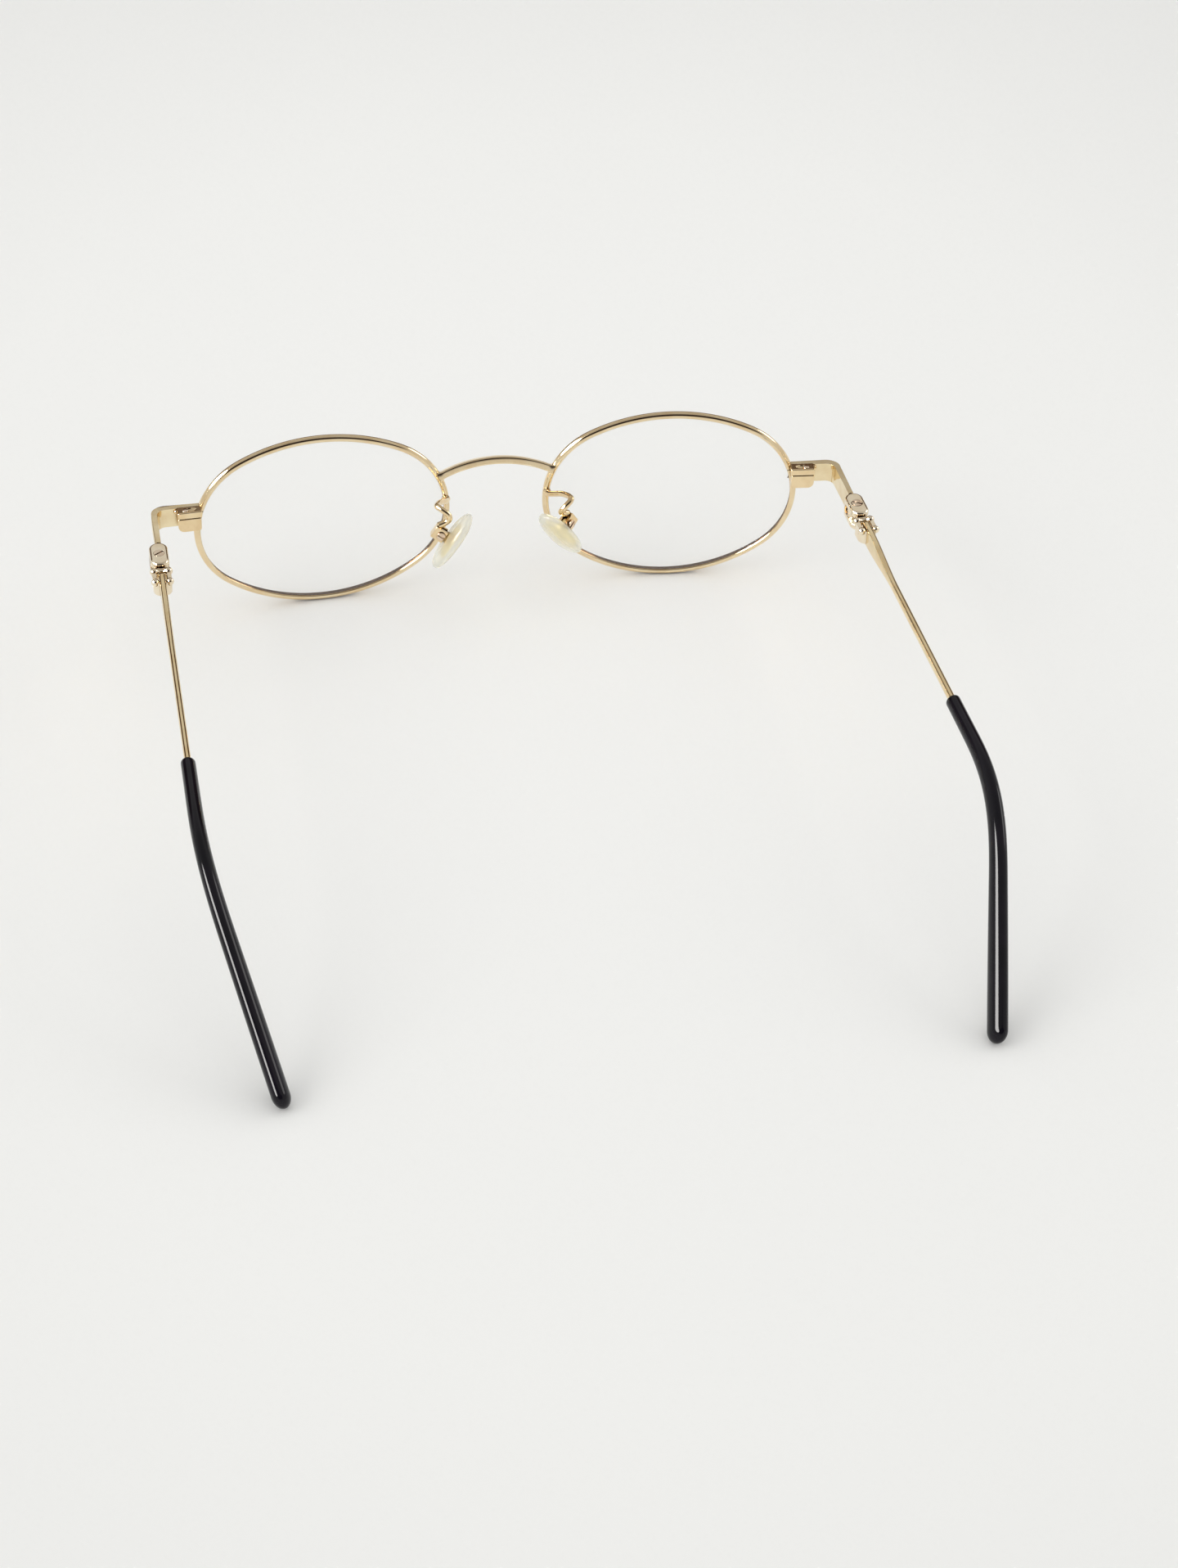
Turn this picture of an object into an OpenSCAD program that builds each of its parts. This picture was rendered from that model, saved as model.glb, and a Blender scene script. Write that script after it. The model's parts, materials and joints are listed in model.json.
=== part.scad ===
// Oval metal eyeglasses, standing on the rims and the ends of the temples.
// Left and right are the wearer's: +X is left, the front faces -Y, the temples run to +Y, +Z is up.

/* [Lenses] */
// Width of a lens across the oval, to the point of its bevel
lens_w = 48; // [44:0.5:54]
// Height of the lens above its widest line
lens_rise = 16.8; // [15.4:0.2:20]
// Height of the lens below its widest line
lens_drop = 17.9; // [15.5:0.1:22]
// Radius of the tight curve at each end of the oval, as a share of the smaller height
end_r_share = 0.88; // [0.7:0.01:0.95]
// Radius of the ball that both lens faces follow
base_r = 140; // [100:1:200]
// Thickness of the lens
lens_t = 1.4; // [1.1:0.1:2]
// Height of the bevel round the lens
bevel_h = 0.4; // [0.3:0.05:0.6]
// Gap between the two lenses across the nose
nose_gap = 19.6; // [18:0.2:24]
// Angle that each lens turns back toward the temple
wrap = 4; // [1:0.5:7]

/* [Rims] */
// Wire of the rim, front to back
rim_deep = 1.6; // [1.3:0.1:2.2]
// Metal inside the round of the rim wire
rim_lip = 0.3; // [0.2:0.05:0.5]
// Saw cut where the rim opens
rim_cut = 0.16; // [0.1:0.02:0.3]
// Play between the lens and its groove
lens_play = 0.05; // [0.02:0.01:0.1]
// Play that keeps a seated piece just off its seat
seat_play = 0.02; // [0.01:0.005:0.04]

/* [Bridge] */
// Height of the bridge ends above the widest line
bridge_z = 6.4; // [5:0.2:8]
// Rise of the arch above its ends
bridge_rise = 2.8; // [1.5:0.1:4]
// Height of the bridge strip
bridge_h = 1.2; // [1:0.1:2]
// Thickness of the bridge strip, front to back
bridge_t = 1.7; // [1.4:0.1:2.2]
// Lean of the arch toward the front
bridge_lean = 12; // [0:1:30]

/* [Rim lock and end piece] */
// Height of the middle of the end piece above the widest line
end_z = 4; // [1:0.2:5]
// Length of the rim lock, from the outer end of the rim outward
lock_len = 3.1; // [2.6:0.1:4]
// Depth of the rim lock behind the end piece
lock_d = 2.1; // [1.9:0.1:2.8]
// Height of the lower half of the lock
lock_low = 2.9; // [2.4:0.1:3.4]
// Height of the upper half of the lock
lock_up = 1.3; // [1:0.1:1.8]
// Length of the end piece, from the rim to the corner
plate_len = 7.5; // [7:0.1:10]
// Height of the end piece
plate_h = 4; // [3.4:0.1:4.8]
// Thickness of the end piece
plate_t = 1.3; // [1:0.1:1.5]
// Radius of the corner, at the middle of the strip
corner_r = 2.3; // [1.6:0.1:2.8]
// Length from the corner back to the hinge pin
leg_len = 14.2; // [10:0.2:16]

/* [Hinge] */
// Width of the hinge body
hinge_w = 3.5; // [3.3:0.1:4.2]
// Length of the hinge body
hinge_len = 7; // [6.8:0.1:8]
// Height of the hinge body
hinge_h = 4.2; // [3.8:0.1:4.8]
// Height of the tongue between the two ears
tongue_h = 1.5; // [1.3:0.1:1.7]
// Radius of the round end of the tongue
tongue_r = 1.65; // [1.55:0.05:1.7]
// Diameter of the hinge pin
pin_d = 1.4; // [1.2:0.1:1.5]
// Running play of the tongue, above and below
ear_play = 0.05; // [0.03:0.01:0.1]
// Running play round the pin
pin_play = 0.03; // [0.02:0.01:0.06]
// Length of the open link behind the hinge
link_len = 5; // [4.8:0.1:6.6]
// Height of the open link
link_h = 2.8; // [2.4:0.1:3.4]
// Width of the bars of the open link
link_bar = 0.75; // [0.6:0.05:0.9]
// Diameter of the beads on the link
bead_d = 1.5; // [1.2:0.1:1.8]

/* [Temples] */
// Length of a temple, from the hinge pin to its end
temple_len = 128; // [122:1:145]
// Angle that the left temple stands open past straight
splay_left = -1; // [-3:0.5:6]
// Angle that the right temple stands open past straight
splay_right = 4.5; // [-3:0.5:6]
// Slope of the temples, down from square to the front
temple_slope = 4; // [2:0.5:9]
// Height of the blade at its root
blade_h = 4; // [3.2:0.1:4.6]
// Thickness of the blade and of the wire behind it
blade_t = 1.2; // [1:0.1:1.4]
// Length of the blade, from the hinge pin to the wire
blade_len = 25; // [20:1:32]
// Height of the wire
wire_h = 1.7; // [1.4:0.1:2]
// Length from the hinge pin to the sleeve
sleeve_at = 59; // [50:1:64]
// Length from the hinge pin to the start of the bend
bend_at = 68; // [58:1:72]
// Length of the bend
bend_len = 32; // [24:1:42]
// Angle of the bend behind the ear
bend_angle = 38; // [25:1:50]
// Angle that the bent part leans in toward the head
bend_in = 20; // [0:1:26]
// Width of the sleeve where it starts
sleeve_w = 2.6; // [2.3:0.1:3]
// Width of the sleeve near its end
tip_w = 3.2; // [2.8:0.1:4]
// Height of the sleeve near its end
tip_h = 4.6; // [3.8:0.1:5.4]

/* [Nose pads] */
// Length of a nose pad
pad_len = 13; // [11:0.5:15]
// Width of a nose pad
pad_w = 7.2; // [6:0.1:8]
// Thickness of a nose pad
pad_t = 2.4; // [2:0.1:3]
// Distance of the left pad's middle from the middle of the nose
pad_x_left = 9.9; // [9.4:0.1:12]
// Distance of the right pad's middle from the middle of the nose
pad_x_right = 11.2; // [9.4:0.1:12]
// Distance of the pad's middle behind the lens
pad_back = 10; // [9:0.1:10.8]
// Drop of the pad's middle below the widest line
pad_drop = 2; // [1:0.1:4.4]
// Angle that the pads spread downward
pad_flare = 34; // [26:1:42]
// Angle that the left pad spreads backward
pad_splay_left = 8; // [5:1:42]
// Angle that the right pad spreads backward
pad_splay_right = 40; // [5:1:42]
// Angle that the foot of the pad stands further back
pad_pitch = 7; // [0:1:18]
// Diameter of the pad arm's wire
arm_d = 0.9; // [0.8:0.05:1.1]
// Height of the arm's foot above the widest line
arm_z = 1.8; // [0:0.1:3]
// Reach of the arm's loop outward
arm_out = 3.1; // [2.4:0.1:3.8]
// Reach of the arm's loop backward
arm_back = 7.2; // [6.4:0.1:8]
// Rise of the arm's loop
arm_up = 3; // [2:0.1:3.8]
// Height of the pad box
box_h = 2.4; // [2:0.1:3]
// Thickness of the tab that sits in the pad box
tab_t = 0.9; // [0.7:0.05:1.1]
// Play between the pad box and the tab
box_play = 0.1; // [0.06:0.02:0.16]

/* [Hidden] */
$fn = 48;
half = 1 / 2;
turn = 360;
quarter = 90;

// Shares of the lock's and the hinge's sizes
lock_pin_share = 0.57;
lock_head_share = 0.82;
lock_head_h_share = 0.28;
round_share = 0.2;
head_share = 1.45;
head_h_share = 0.3;
slot_share = 0.22;
slot_turn = 35;
tongue_neck_share = 0.7;
link_gap_share = 0.14;
blade_root_share = 0.45;
ball_share = 1.1;
ball_sink_share = 0.2;
ball_in_share = 0.28;
ball_bar_share = 0.5;
bar_reach_share = 0.6;
bead_back_share = 0.6;
bead_sink_share = 0.15;

// Shares of the temple's, the pad's and the arm's sizes
core_w_share = 0.46;
core_h_share = 0.44;
core_stop_share = 1.5;
mouth_share = 1.1;
path_steps = 130;
bridge_round_share = 0.4;
plate_w_share = 0.52;
plate_len_share = 0.4;
plate_round_share = 0.12;
plate_t_share = 0.2;
wall_share = 0.55;
back_share = 1.4;
pad_head_share = 1.8;
pad_head_h_share = 0.4;
pad_power = 2.6;
pad_flat_share = 0.1;
end_flat_share = 0.01;
dome_shares = [0.02, 0.36, 0.7, 1];

overlap = 0.02;

// Radius of the tight curve at each end of the oval
end_r = min(lens_rise, lens_drop) * end_r_share;

// The oval is drawn on a ball of radius base_r, as four arcs that meet without a corner.
// An angle seen from the ball's middle stands for a length along its surface.
function along(d) = d / base_r * 180 / PI;
end_tilt = along(lens_w * half - end_r);
function arc_tilt(b) = let (d = along(b - end_r)) atan2(cos(d) - cos(end_tilt), sin(d));
function arc_half(b) = atan2(tan(end_tilt), sin(arc_tilt(b)));
function end_half(b) = atan2(tan(arc_tilt(b)), sin(end_tilt));
end_rho = along(end_r);
top_tilt = arc_tilt(lens_rise);
top_rho = top_tilt + along(lens_rise);
low_tilt = arc_tilt(lens_drop);
low_rho = low_tilt + along(lens_drop);

// Where the widest line meets the end of the oval, seen from the middle of the lens
edge_x = base_r * sin(along(lens_w * half));
edge_y = base_r * (1 - cos(along(lens_w * half)));
rim_r = rim_deep * half;
eye_x = nose_gap * half + edge_x * cos(wrap) + edge_y * sin(wrap);

// Corner of the end piece, on the middle of its strip
corner_x = eye_x + edge_x * cos(wrap) - edge_y * sin(wrap) + (rim_r + plate_len) * cos(wrap);
corner_y = edge_x * sin(wrap) + edge_y * cos(wrap) + (rim_r + plate_len) * sin(wrap)
    - (rim_deep - plate_t) * half;
lock_top = (lock_low + rim_cut + lock_up) * half;
cut_z = lock_top - lock_up - rim_cut * half;
lock_mid_x = lock_len * half - plate_len;
lock_mid_y = (plate_t + lock_d) * half;
lock_pin_d = lock_d * lock_pin_share;
lock_head_d = lock_d * lock_head_share;
lock_head_h = lock_low * lock_head_h_share;

// Hinge, measured from its pin
hinge_r = hinge_w * half;
stop_y = tongue_r + ear_play;
head_d = pin_d * head_share;
head_h = pin_d * head_h_share;
slot_w = pin_d * slot_share;
link_y = hinge_len * half + bead_d * link_gap_share;
link_end = link_y + link_len;
opening_y = link_y + link_bar;
blade_y = link_y + link_len * blade_root_share;
ball_d = bead_d * ball_share;
ball_z = link_h * half - ball_d * ball_sink_share;
bead_y = link_end - bead_d * bead_back_share;
bead_z = link_h * half - bead_d * bead_sink_share;

// Temple path beyond the blade: it bends smoothly, in a plane that leans in toward the head
step = temple_len / path_steps;
function ease(t) = t <= 0 ? 0 : t >= 1 ? 1 : t * t * (3 - 2 * t);
function bend(s) = bend_angle * ease((s - bend_at) / bend_len);
path = [for (i = 0, p = [0, 0]; i <= path_steps; a = bend(step * (i + half)),
    p = p + step * [cos(a), sin(a)], i = i + 1) p];
function path_at(s) = let (i = min(floor(s / step), len(path) - 2), f = s / step - i)
    path[i] * (1 - f) + path[i + 1] * f;
function spot(s) = let (p = path_at(s)) [-p[1] * sin(bend_in), p[0], -p[1] * cos(bend_in)];
function up_dir(s) = [cos(bend(s)) * sin(bend_in), sin(bend(s)), cos(bend(s)) * cos(bend_in)];
side_dir = [cos(bend_in), 0, -sin(bend_in)];

// Standing: a line touches the round of the rims and the round ends of the temples
function rot_x(p, t) = [p[0], p[1] * cos(t) - p[2] * sin(t), p[1] * sin(t) + p[2] * cos(t)];
function rot_y(p, t) = [p[0] * cos(t) + p[2] * sin(t), p[1], p[2] * cos(t) - p[0] * sin(t)];
function rot_z(p, t) = [p[0] * cos(t) - p[1] * sin(t), p[0] * sin(t) + p[1] * cos(t), p[2]];
function from_hinge(p, splay) = [corner_x, corner_y, end_z]
    + rot_x(rot_z(p + [0, leg_len, 0], -splay), -temple_slope);
tip_end = from_hinge(spot(temple_len - tip_h * half), (splay_left + splay_right) * half);
tip_r = norm([tip_h * cos(bend_in), tip_w * sin(bend_in)]) * half;
low_y = base_r * (1 - cos(along(lens_drop))) * cos(wrap);
low_z = -base_r * sin(along(lens_drop));
reach = norm([tip_end[1] - low_y, tip_end[2] - low_z]);
lean = asin((tip_r - rim_r) / reach) - atan2(tip_end[2] - low_z, tip_end[1] - low_y);
stand_y = low_z * sin(lean) - low_y * cos(lean);
stand_z = rim_r - low_y * sin(lean) - low_z * cos(lean);

// Frames of reference, from the floor inward
module stand() { translate([0, stand_y, stand_z]) rotate([lean, 0, 0]) children(); }
module on_side(side) { mirror([side < 0 ? 1 : 0, 0, 0]) children(); }
module eye_frame(side) { stand() on_side(side) eye_turn() children(); }
module eye_turn() { translate([eye_x, 0, 0]) rotate([0, 0, wrap]) children(); }
module corner_turn() { translate([corner_x, corner_y, end_z]) rotate([-temple_slope, 0, 0]) children(); }
module corner_frame(side) { stand() on_side(side) corner_turn() children(); }
module hinge_frame(side) { corner_frame(side) rotate([0, 0, -splay(side)]) translate([0, leg_len, 0]) children(); }
function splay(side) = side > 0 ? splay_left : splay_right;

// Shared shapes
module rounded(w, h, r) {
    for (x = [r, w - r], y = [r, h - r]) translate([x, y]) circle(r = r);
    translate([r, 0]) square([w - 2 * r, h]);
    translate([0, r]) square([w, h - 2 * r]);
}
module stadium(w, l) {
    for (y = [w * half, l - w * half]) translate([0, y]) circle(d = w);
    translate([-w * half, w * half]) square([w, l - w]);
}
module block(size) { translate([-size[0] * half, -size[1] * half, -size[2] * half]) cube(size); }
module plan(h) { translate([0, 0, -h * half]) linear_extrude(h) children(); }

// Closed skin over rings of points, with a flat face on the first and the last ring
module skin(rings) {
    n = len(rings[0]);
    m = len(rings);
    points = [for (r = rings) each r];
    sides = [for (j = [0:m - 2], i = [0:n - 1]) let (a = j * n + i, b = j * n + (i + 1) % n)
        each [[a, b, b + n], [a, b + n, a + n]]];
    polyhedron(points = points, faces = concat(sides,
        [[for (i = [n - 1:-1:0]) i]], [[for (i = [0:n - 1]) (m - 1) * n + i]]));
}
function ring(at, across, up, a, b, n) = [for (i = [0:n - 1])
    at - a * sin(turn * i / n) * across + b * cos(turn * i / n) * up];

// Smooth curve through a few points
function curve(p, n) = [for (i = [0:len(p) - 2], k = [0:n - 1])
    let (a = p[max(i - 1, 0)], b = p[i], c = p[i + 1], d = p[min(i + 2, len(p) - 1)], t = k / n)
    b + half * t * ((c - a) + t * ((2 * a - 5 * b + 4 * c - d) + t * (3 * b - a - 3 * c + d))), p[len(p) - 1]];
function unit(v) = v / norm(v);
function heading(p, i) = unit(p[min(i + 1, len(p) - 1)] - p[max(i - 1, 0)]);
module wire(p, d, n) {
    across = [for (i = 0, a = unit(cross(heading(p, 0), [0, 0, 1])); i < len(p);
        i = i + 1, a = i < len(p) ? unit(a - (a * heading(p, i)) * heading(p, i)) : a) a];
    skin([for (i = [0:len(p) - 1]) ring(p[i], across[i], cross(across[i], heading(p, i)), d * half, d * half, n)]);
}

// Rims
module ball_frame() { translate([0, base_r, 0]) rotate([90, 0, 0]) children(); }
module ring_arc(rho, from, sweep) {
    more = overlap / (base_r * sin(rho)) * 180 / PI;
    rotate([0, 0, from - more]) rotate_extrude(angle = sweep + 2 * more)
        translate([base_r * sin(rho), base_r * cos(rho)]) rotate(-rho) children();
}
// One end of the rim with the room inside it, to cut the pieces that are soldered to it
function end_sag(z) = end_r - sqrt(end_r * end_r - z * z);
module rim_end_fill(tilt, from, sweep) {
    eye_turn() ball_frame() rotate([0, tilt, 0]) ring_arc(end_rho, from, sweep) {
        circle(r = rim_r);
        translate([-end_r * half, -rim_r]) square([end_r * half, rim_deep]);
    }
}
module outer_rim_fill() { rim_end_fill(end_tilt, -end_half(lens_drop), end_half(lens_drop) + end_half(lens_rise)); }
module nose_rim_fill() {
    rim_end_fill(-end_tilt, 2 * quarter - end_half(lens_rise), end_half(lens_rise) + end_half(lens_drop));
}

// Points of the oval as directions from the ball's middle: u is a length outward along the ball
function dir(rho, phi) = [sin(rho) * cos(phi), sin(rho) * sin(phi), cos(rho)];
function spread(from, sweep, n) = [for (i = [0:n - 1]) from + sweep * i / n];
function oval_dirs(u, more = 0) = let (g = along(u) + more, top_half = arc_half(lens_rise),
    low_half = arc_half(lens_drop), end_up = end_half(lens_rise), end_low = end_half(lens_drop)) concat(
    [for (f = spread(-end_low, end_low + end_up, 18)) rot_y(dir(end_rho + g, f), end_tilt)],
    [for (f = spread(quarter - top_half, 2 * top_half, 20)) rot_x(dir(top_rho + g, f), top_tilt)],
    [for (f = spread(2 * quarter - end_up, end_low + end_up, 18)) rot_y(dir(end_rho + g, f), -end_tilt)],
    [for (f = spread(-quarter - low_half, 2 * low_half, 20)) rot_x(dir(low_rho + g, f), -low_tilt)]);

// Section of the rim: a round wire with a flat inner face and a groove for the lens's bevel
flat_from = acos(-rim_lip / rim_r);
rim_section = concat([for (k = [0:12]) let (a = flat_from * (k / 6 - 1)) rim_r * [cos(a), sin(a)]],
    [[-rim_lip, rim_lip], [0, 0], [-rim_lip, -rim_lip]]);
rim_marks = oval_dirs(0);
rim_outward = oval_dirs(0, quarter);
rim_rings = [for (i = [0:len(rim_marks) - 1]) [for (p = rim_section)
    (base_r + p[1]) * rim_marks[i] + p[0] * rim_outward[i]]];
module loop(rings) {
    n = len(rings[0]);
    m = len(rings);
    polyhedron(points = [for (r = rings) each r], faces = [for (j = [0:m - 1], i = [0:n - 1])
        let (a = j * n + i, b = j * n + (i + 1) % n, c = (j + 1) % m * n + (i + 1) % n, d = (j + 1) % m * n + i)
        each [[a, b, c], [a, c, d]]]);
}
module rim(side) {
    color("#d9c9a3") stand() on_side(side) difference() {
        eye_turn() ball_frame() loop(rim_rings);
        corner_turn() rotate([0, 0, wrap]) translate([-plate_len - rim_r, 0, cut_z])
            block([2 * rim_deep, 3 * rim_deep, rim_cut]);
    }
}

// Lenses
function shell_ring(dirs, share, r) = [for (d = dirs) r * unit(share * d + (1 - share) * [0, 0, 1])];
module lens(side) {
    body_edge = oval_dirs(-lens_play - bevel_h);
    bevel_edge = oval_dirs(-lens_play);
    front = base_r + lens_t * half;
    back = base_r - lens_t * half;
    color("#eef3f4", 0.35) eye_frame(side) ball_frame() skin(concat(
        [for (f = dome_shares) shell_ring(body_edge, f, front)],
        [shell_ring(body_edge, 1, base_r + bevel_h)],
        [shell_ring(bevel_edge, 1, base_r)],
        [shell_ring(body_edge, 1, base_r - bevel_h)],
        [for (i = [len(dome_shares) - 1:-1:0]) shell_ring(body_edge, dome_shares[i], back)]));
}

// Bridge: one arc of a rounded strip, cut to the round of both rims
module bridge() {
    end_x = eye_x - (lens_w * half - end_r + sqrt(end_r * end_r - bridge_z * bridge_z)) * cos(wrap);
    end_y = base_r * (1 - cos(along(norm([edge_x, bridge_z])))) - edge_x * sin(wrap);
    arch_r = (end_x * end_x + bridge_rise * bridge_rise) / (2 * bridge_rise);
    arch_half = asin(end_x / arch_r);
    color("#c9b27c") stand() difference() {
        translate([0, end_y, bridge_z]) rotate([90 + bridge_lean, 0, 0])
            translate([0, bridge_rise - arch_r, 0]) rotate([0, 0, 90 - arch_half])
            rotate_extrude(angle = 2 * arch_half)
            translate([arch_r - bridge_h * half, -bridge_t * half])
            rounded(bridge_h, bridge_t, bridge_h * bridge_round_share);
        for (side = [1, -1]) on_side(side) nose_rim_fill();
    }
}

// Rim lock: two halves behind the end piece, closed by a screw from below
module lock_half(side, from, height) {
    sag = end_sag(end_z + from + height);
    color("#d6c08d") stand() on_side(side) difference() {
        corner_turn() rotate([0, 0, wrap]) difference() {
            translate([-plate_len - rim_r - sag, plate_t * half, from]) linear_extrude(height)
                rounded(lock_len + rim_r + sag, lock_d, lock_d * round_share);
            translate([lock_mid_x, lock_mid_y, 0]) lock_bores();
        }
        outer_rim_fill();
    }
}
module lock_bores() {
    translate([0, 0, -lock_top - lock_low]) cylinder(d = lock_pin_d + 2 * seat_play, h = 3 * lock_low + lock_up);
    translate([0, 0, -lock_top - lock_head_h]) cylinder(d = lock_head_d + 2 * seat_play, h = 2 * lock_head_h);
}
module rim_lock_lower(side) { lock_half(side, -lock_top, lock_low); }
module rim_lock_upper(side) { lock_half(side, cut_z + rim_cut * half, lock_up); }
module rim_screw(side) {
    color("#c8b27a") corner_frame(side) rotate([0, 0, wrap]) translate([lock_mid_x, lock_mid_y, -lock_top])
        difference() {
            union() {
                cylinder(d = lock_pin_d, h = 2 * lock_top);
                cylinder(d = lock_head_d, h = lock_head_h - seat_play);
            }
            block([lock_head_d + lock_pin_d, slot_w, lock_head_h]);
        }
}

// End piece: flat strip from the rim, round the corner and back to the hinge body
module end_piece(side) {
    bend_turn = 90 - wrap - splay(side);
    corner_cut = corner_r * tan(bend_turn * half);
    sag = end_sag(end_z + plate_h * half);
    color("#dccfae") stand() on_side(side) difference() {
        corner_turn() difference() {
            union() {
                rotate([0, 0, wrap]) translate([-plate_len - rim_r - sag, -plate_t * half, -plate_h * half])
                    cube([plate_len + rim_r + sag - corner_cut + overlap, plate_t, plate_h]);
                rotate([0, 0, wrap]) translate([-corner_cut, corner_r, 0]) rotate([0, 0, -quarter])
                    rotate_extrude(angle = bend_turn)
                    translate([corner_r - plate_t * half, -plate_h * half]) square([plate_t, plate_h]);
                rotate([0, 0, -splay(side)]) translate([-plate_t * half, corner_cut - overlap, -plate_h * half])
                    cube([plate_t, leg_len - hinge_r - corner_cut + overlap, plate_h]);
            }
            rotate([0, 0, -splay(side)]) translate([0, leg_len, 0])
                plan(hinge_h + plate_h) hinge_outline();
        }
        outer_rim_fill();
    }
}

// Hinge body: two ears round the tongue, in one piece with the front link of the ornament
module hinge_outline() { translate([0, -hinge_len * half]) stadium(hinge_w, hinge_len); }
module hinge_body(side) {
    gap_h = tongue_h + 2 * ear_play;
    color("#dfd2b0") hinge_frame(side) difference() {
        plan(hinge_h) hinge_outline();
        translate([-hinge_w, -stop_y - ear_play, -gap_h * half]) cube([2 * hinge_w, hinge_len + stop_y, gap_h]);
        block_bore(hinge_h);
        translate([0, 0, hinge_h * half - head_h]) cylinder(d = head_d + 2 * seat_play, h = hinge_h);
    }
}
module block_bore(h) { translate([0, 0, -h]) cylinder(d = pin_d + 2 * pin_play, h = 2 * h); }
module hinge_screw(side) {
    color("#cdb98a") hinge_frame(side) difference() {
        union() {
            translate([0, 0, -hinge_h * half]) cylinder(d = pin_d, h = hinge_h);
            translate([0, 0, hinge_h * half - head_h + seat_play]) cylinder(d = head_d, h = head_h);
        }
        translate([0, 0, hinge_h * half + seat_play]) rotate([0, 0, slot_turn]) block([head_d * 2, slot_w, head_h]);
    }
}

// Rear link: the tongue, with a square front corner that stops the temple when it stands open
module tongue_outline() {
    circle(r = tongue_r);
    translate([0, -stop_y]) square([tongue_r, stop_y]);
    translate([-tongue_r * tongue_neck_share, 0]) square([2 * tongue_r * tongue_neck_share, opening_y]);
}
module link_outline() {
    difference() {
        translate([0, link_y]) stadium(hinge_w, link_len);
        translate([0, opening_y]) stadium(hinge_w - 2 * link_bar, link_len - 2 * link_bar);
        translate([-blade_t * half, blade_y]) square([blade_t, link_len]);
    }
}
module hinge_link(side) {
    color("#dfd2b0") hinge_frame(side) difference() {
        union() {
            plan(tongue_h) tongue_outline();
            plan(link_h) link_outline();
        }
        block_bore(hinge_h);
        link_pin_shape(seat_play);
        bead_shapes(seat_play);
    }
}
module link_pin_shape(play) {
    translate([0, opening_y, ball_z]) rotate([0, quarter, 0]) {
        for (x = [-1, 1]) translate([0, 0, x * (hinge_r - ball_d * ball_in_share)]) sphere(d = ball_d + 2 * play);
        translate([0, 0, -hinge_r * bar_reach_share])
            cylinder(d = ball_d * ball_bar_share + 2 * play, h = hinge_w * bar_reach_share);
    }
}
module link_pin(side) { color("#f0e6cb") hinge_frame(side) link_pin_shape(0); }
module bead_shapes(play) {
    for (x = [-1, 1]) translate([x * (blade_t + bead_d) * half, bead_y, bead_z]) sphere(d = bead_d + 2 * play);
}
module link_beads(side) { color("#f0e6cb") hinge_frame(side) bead_shapes(-seat_play); }

// Temple: the blade tapers to a wire, which bends on inside the sleeve
function blade_half(y) = wire_h * half + (blade_h - wire_h) * half * (1 - ease((y - link_end) / (blade_len - link_end)));
module blade_outline() {
    marks = [for (i = [0:12]) link_end + (blade_len - link_end) * i / 12];
    polygon(concat([[blade_y, blade_h * half]], [for (y = marks) [y, blade_half(y)]],
        [[sleeve_at, wire_h * half], [sleeve_at, -wire_h * half]],
        [for (i = [12:-1:0]) [marks[i], -blade_half(marks[i])]], [[blade_y, -blade_h * half]]));
}
core_end = temple_len - core_stop_share * tip_h;
function core_ring(s, play) = ring(spot(s), side_dir, up_dir(s), blade_t * core_w_share + play,
    wire_h * core_h_share + play, 12);
function core_marks(from) = concat([from], [for (i = [0:11]) bend_at + bend_len * i / 12],
    [bend_at + bend_len, core_end]);
module temple(side) {
    color("#cbb278") hinge_frame(side) {
        translate([-blade_t * half, 0, 0]) rotate([90, 0, 90]) linear_extrude(blade_t) blade_outline();
        skin([for (s = core_marks(sleeve_at - wire_h)) core_ring(s, 0)]);
    }
}

// Sleeve: round at its mouth, flatter and wider toward a round end, with a bore for the wire
tip_round = tip_h * half;
mouth_h = sleeve_w * mouth_share;
function sleeve_grow(s) = ease((s - sleeve_at) / (temple_len - tip_round - sleeve_at));
function sleeve_close(s) = let (t = (s - temple_len + tip_round) / tip_round) t <= 0 ? 1 : sqrt(max(1 - t * t, end_flat_share));
function sleeve_ring(s) = ring(spot(s), side_dir, up_dir(s),
    sleeve_close(s) * (sleeve_w + (tip_w - sleeve_w) * sleeve_grow(s)) * half,
    sleeve_close(s) * (mouth_h + (tip_h - mouth_h) * sleeve_grow(s)) * half, 20);
function bore_ring(s) = ring(spot(s), side_dir, up_dir(s),
    blade_t * core_w_share + 2 * seat_play, wire_h * core_h_share + 2 * seat_play, 20);
module temple_tip(side) {
    bends = [for (i = [0:12]) bend_at + bend_len * i / 12];
    rounds = [for (i = [1:5]) temple_len - tip_round * (1 - sin(90 * i / 5))];
    color("#1b1a20") hinge_frame(side) skin(concat(
        [bore_ring(core_end + seat_play)],
        [for (i = [len(bends) - 1:-1:0]) bore_ring(bends[i])],
        [bore_ring(sleeve_at + seat_play)],
        [for (s = concat([sleeve_at + seat_play], bends)) sleeve_ring(s)],
        [for (i = [1:4]) let (a = bend_at + bend_len) sleeve_ring(a + (temple_len - tip_round - a) * i / 4)],
        [for (s = rounds) sleeve_ring(s)]));
}

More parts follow.
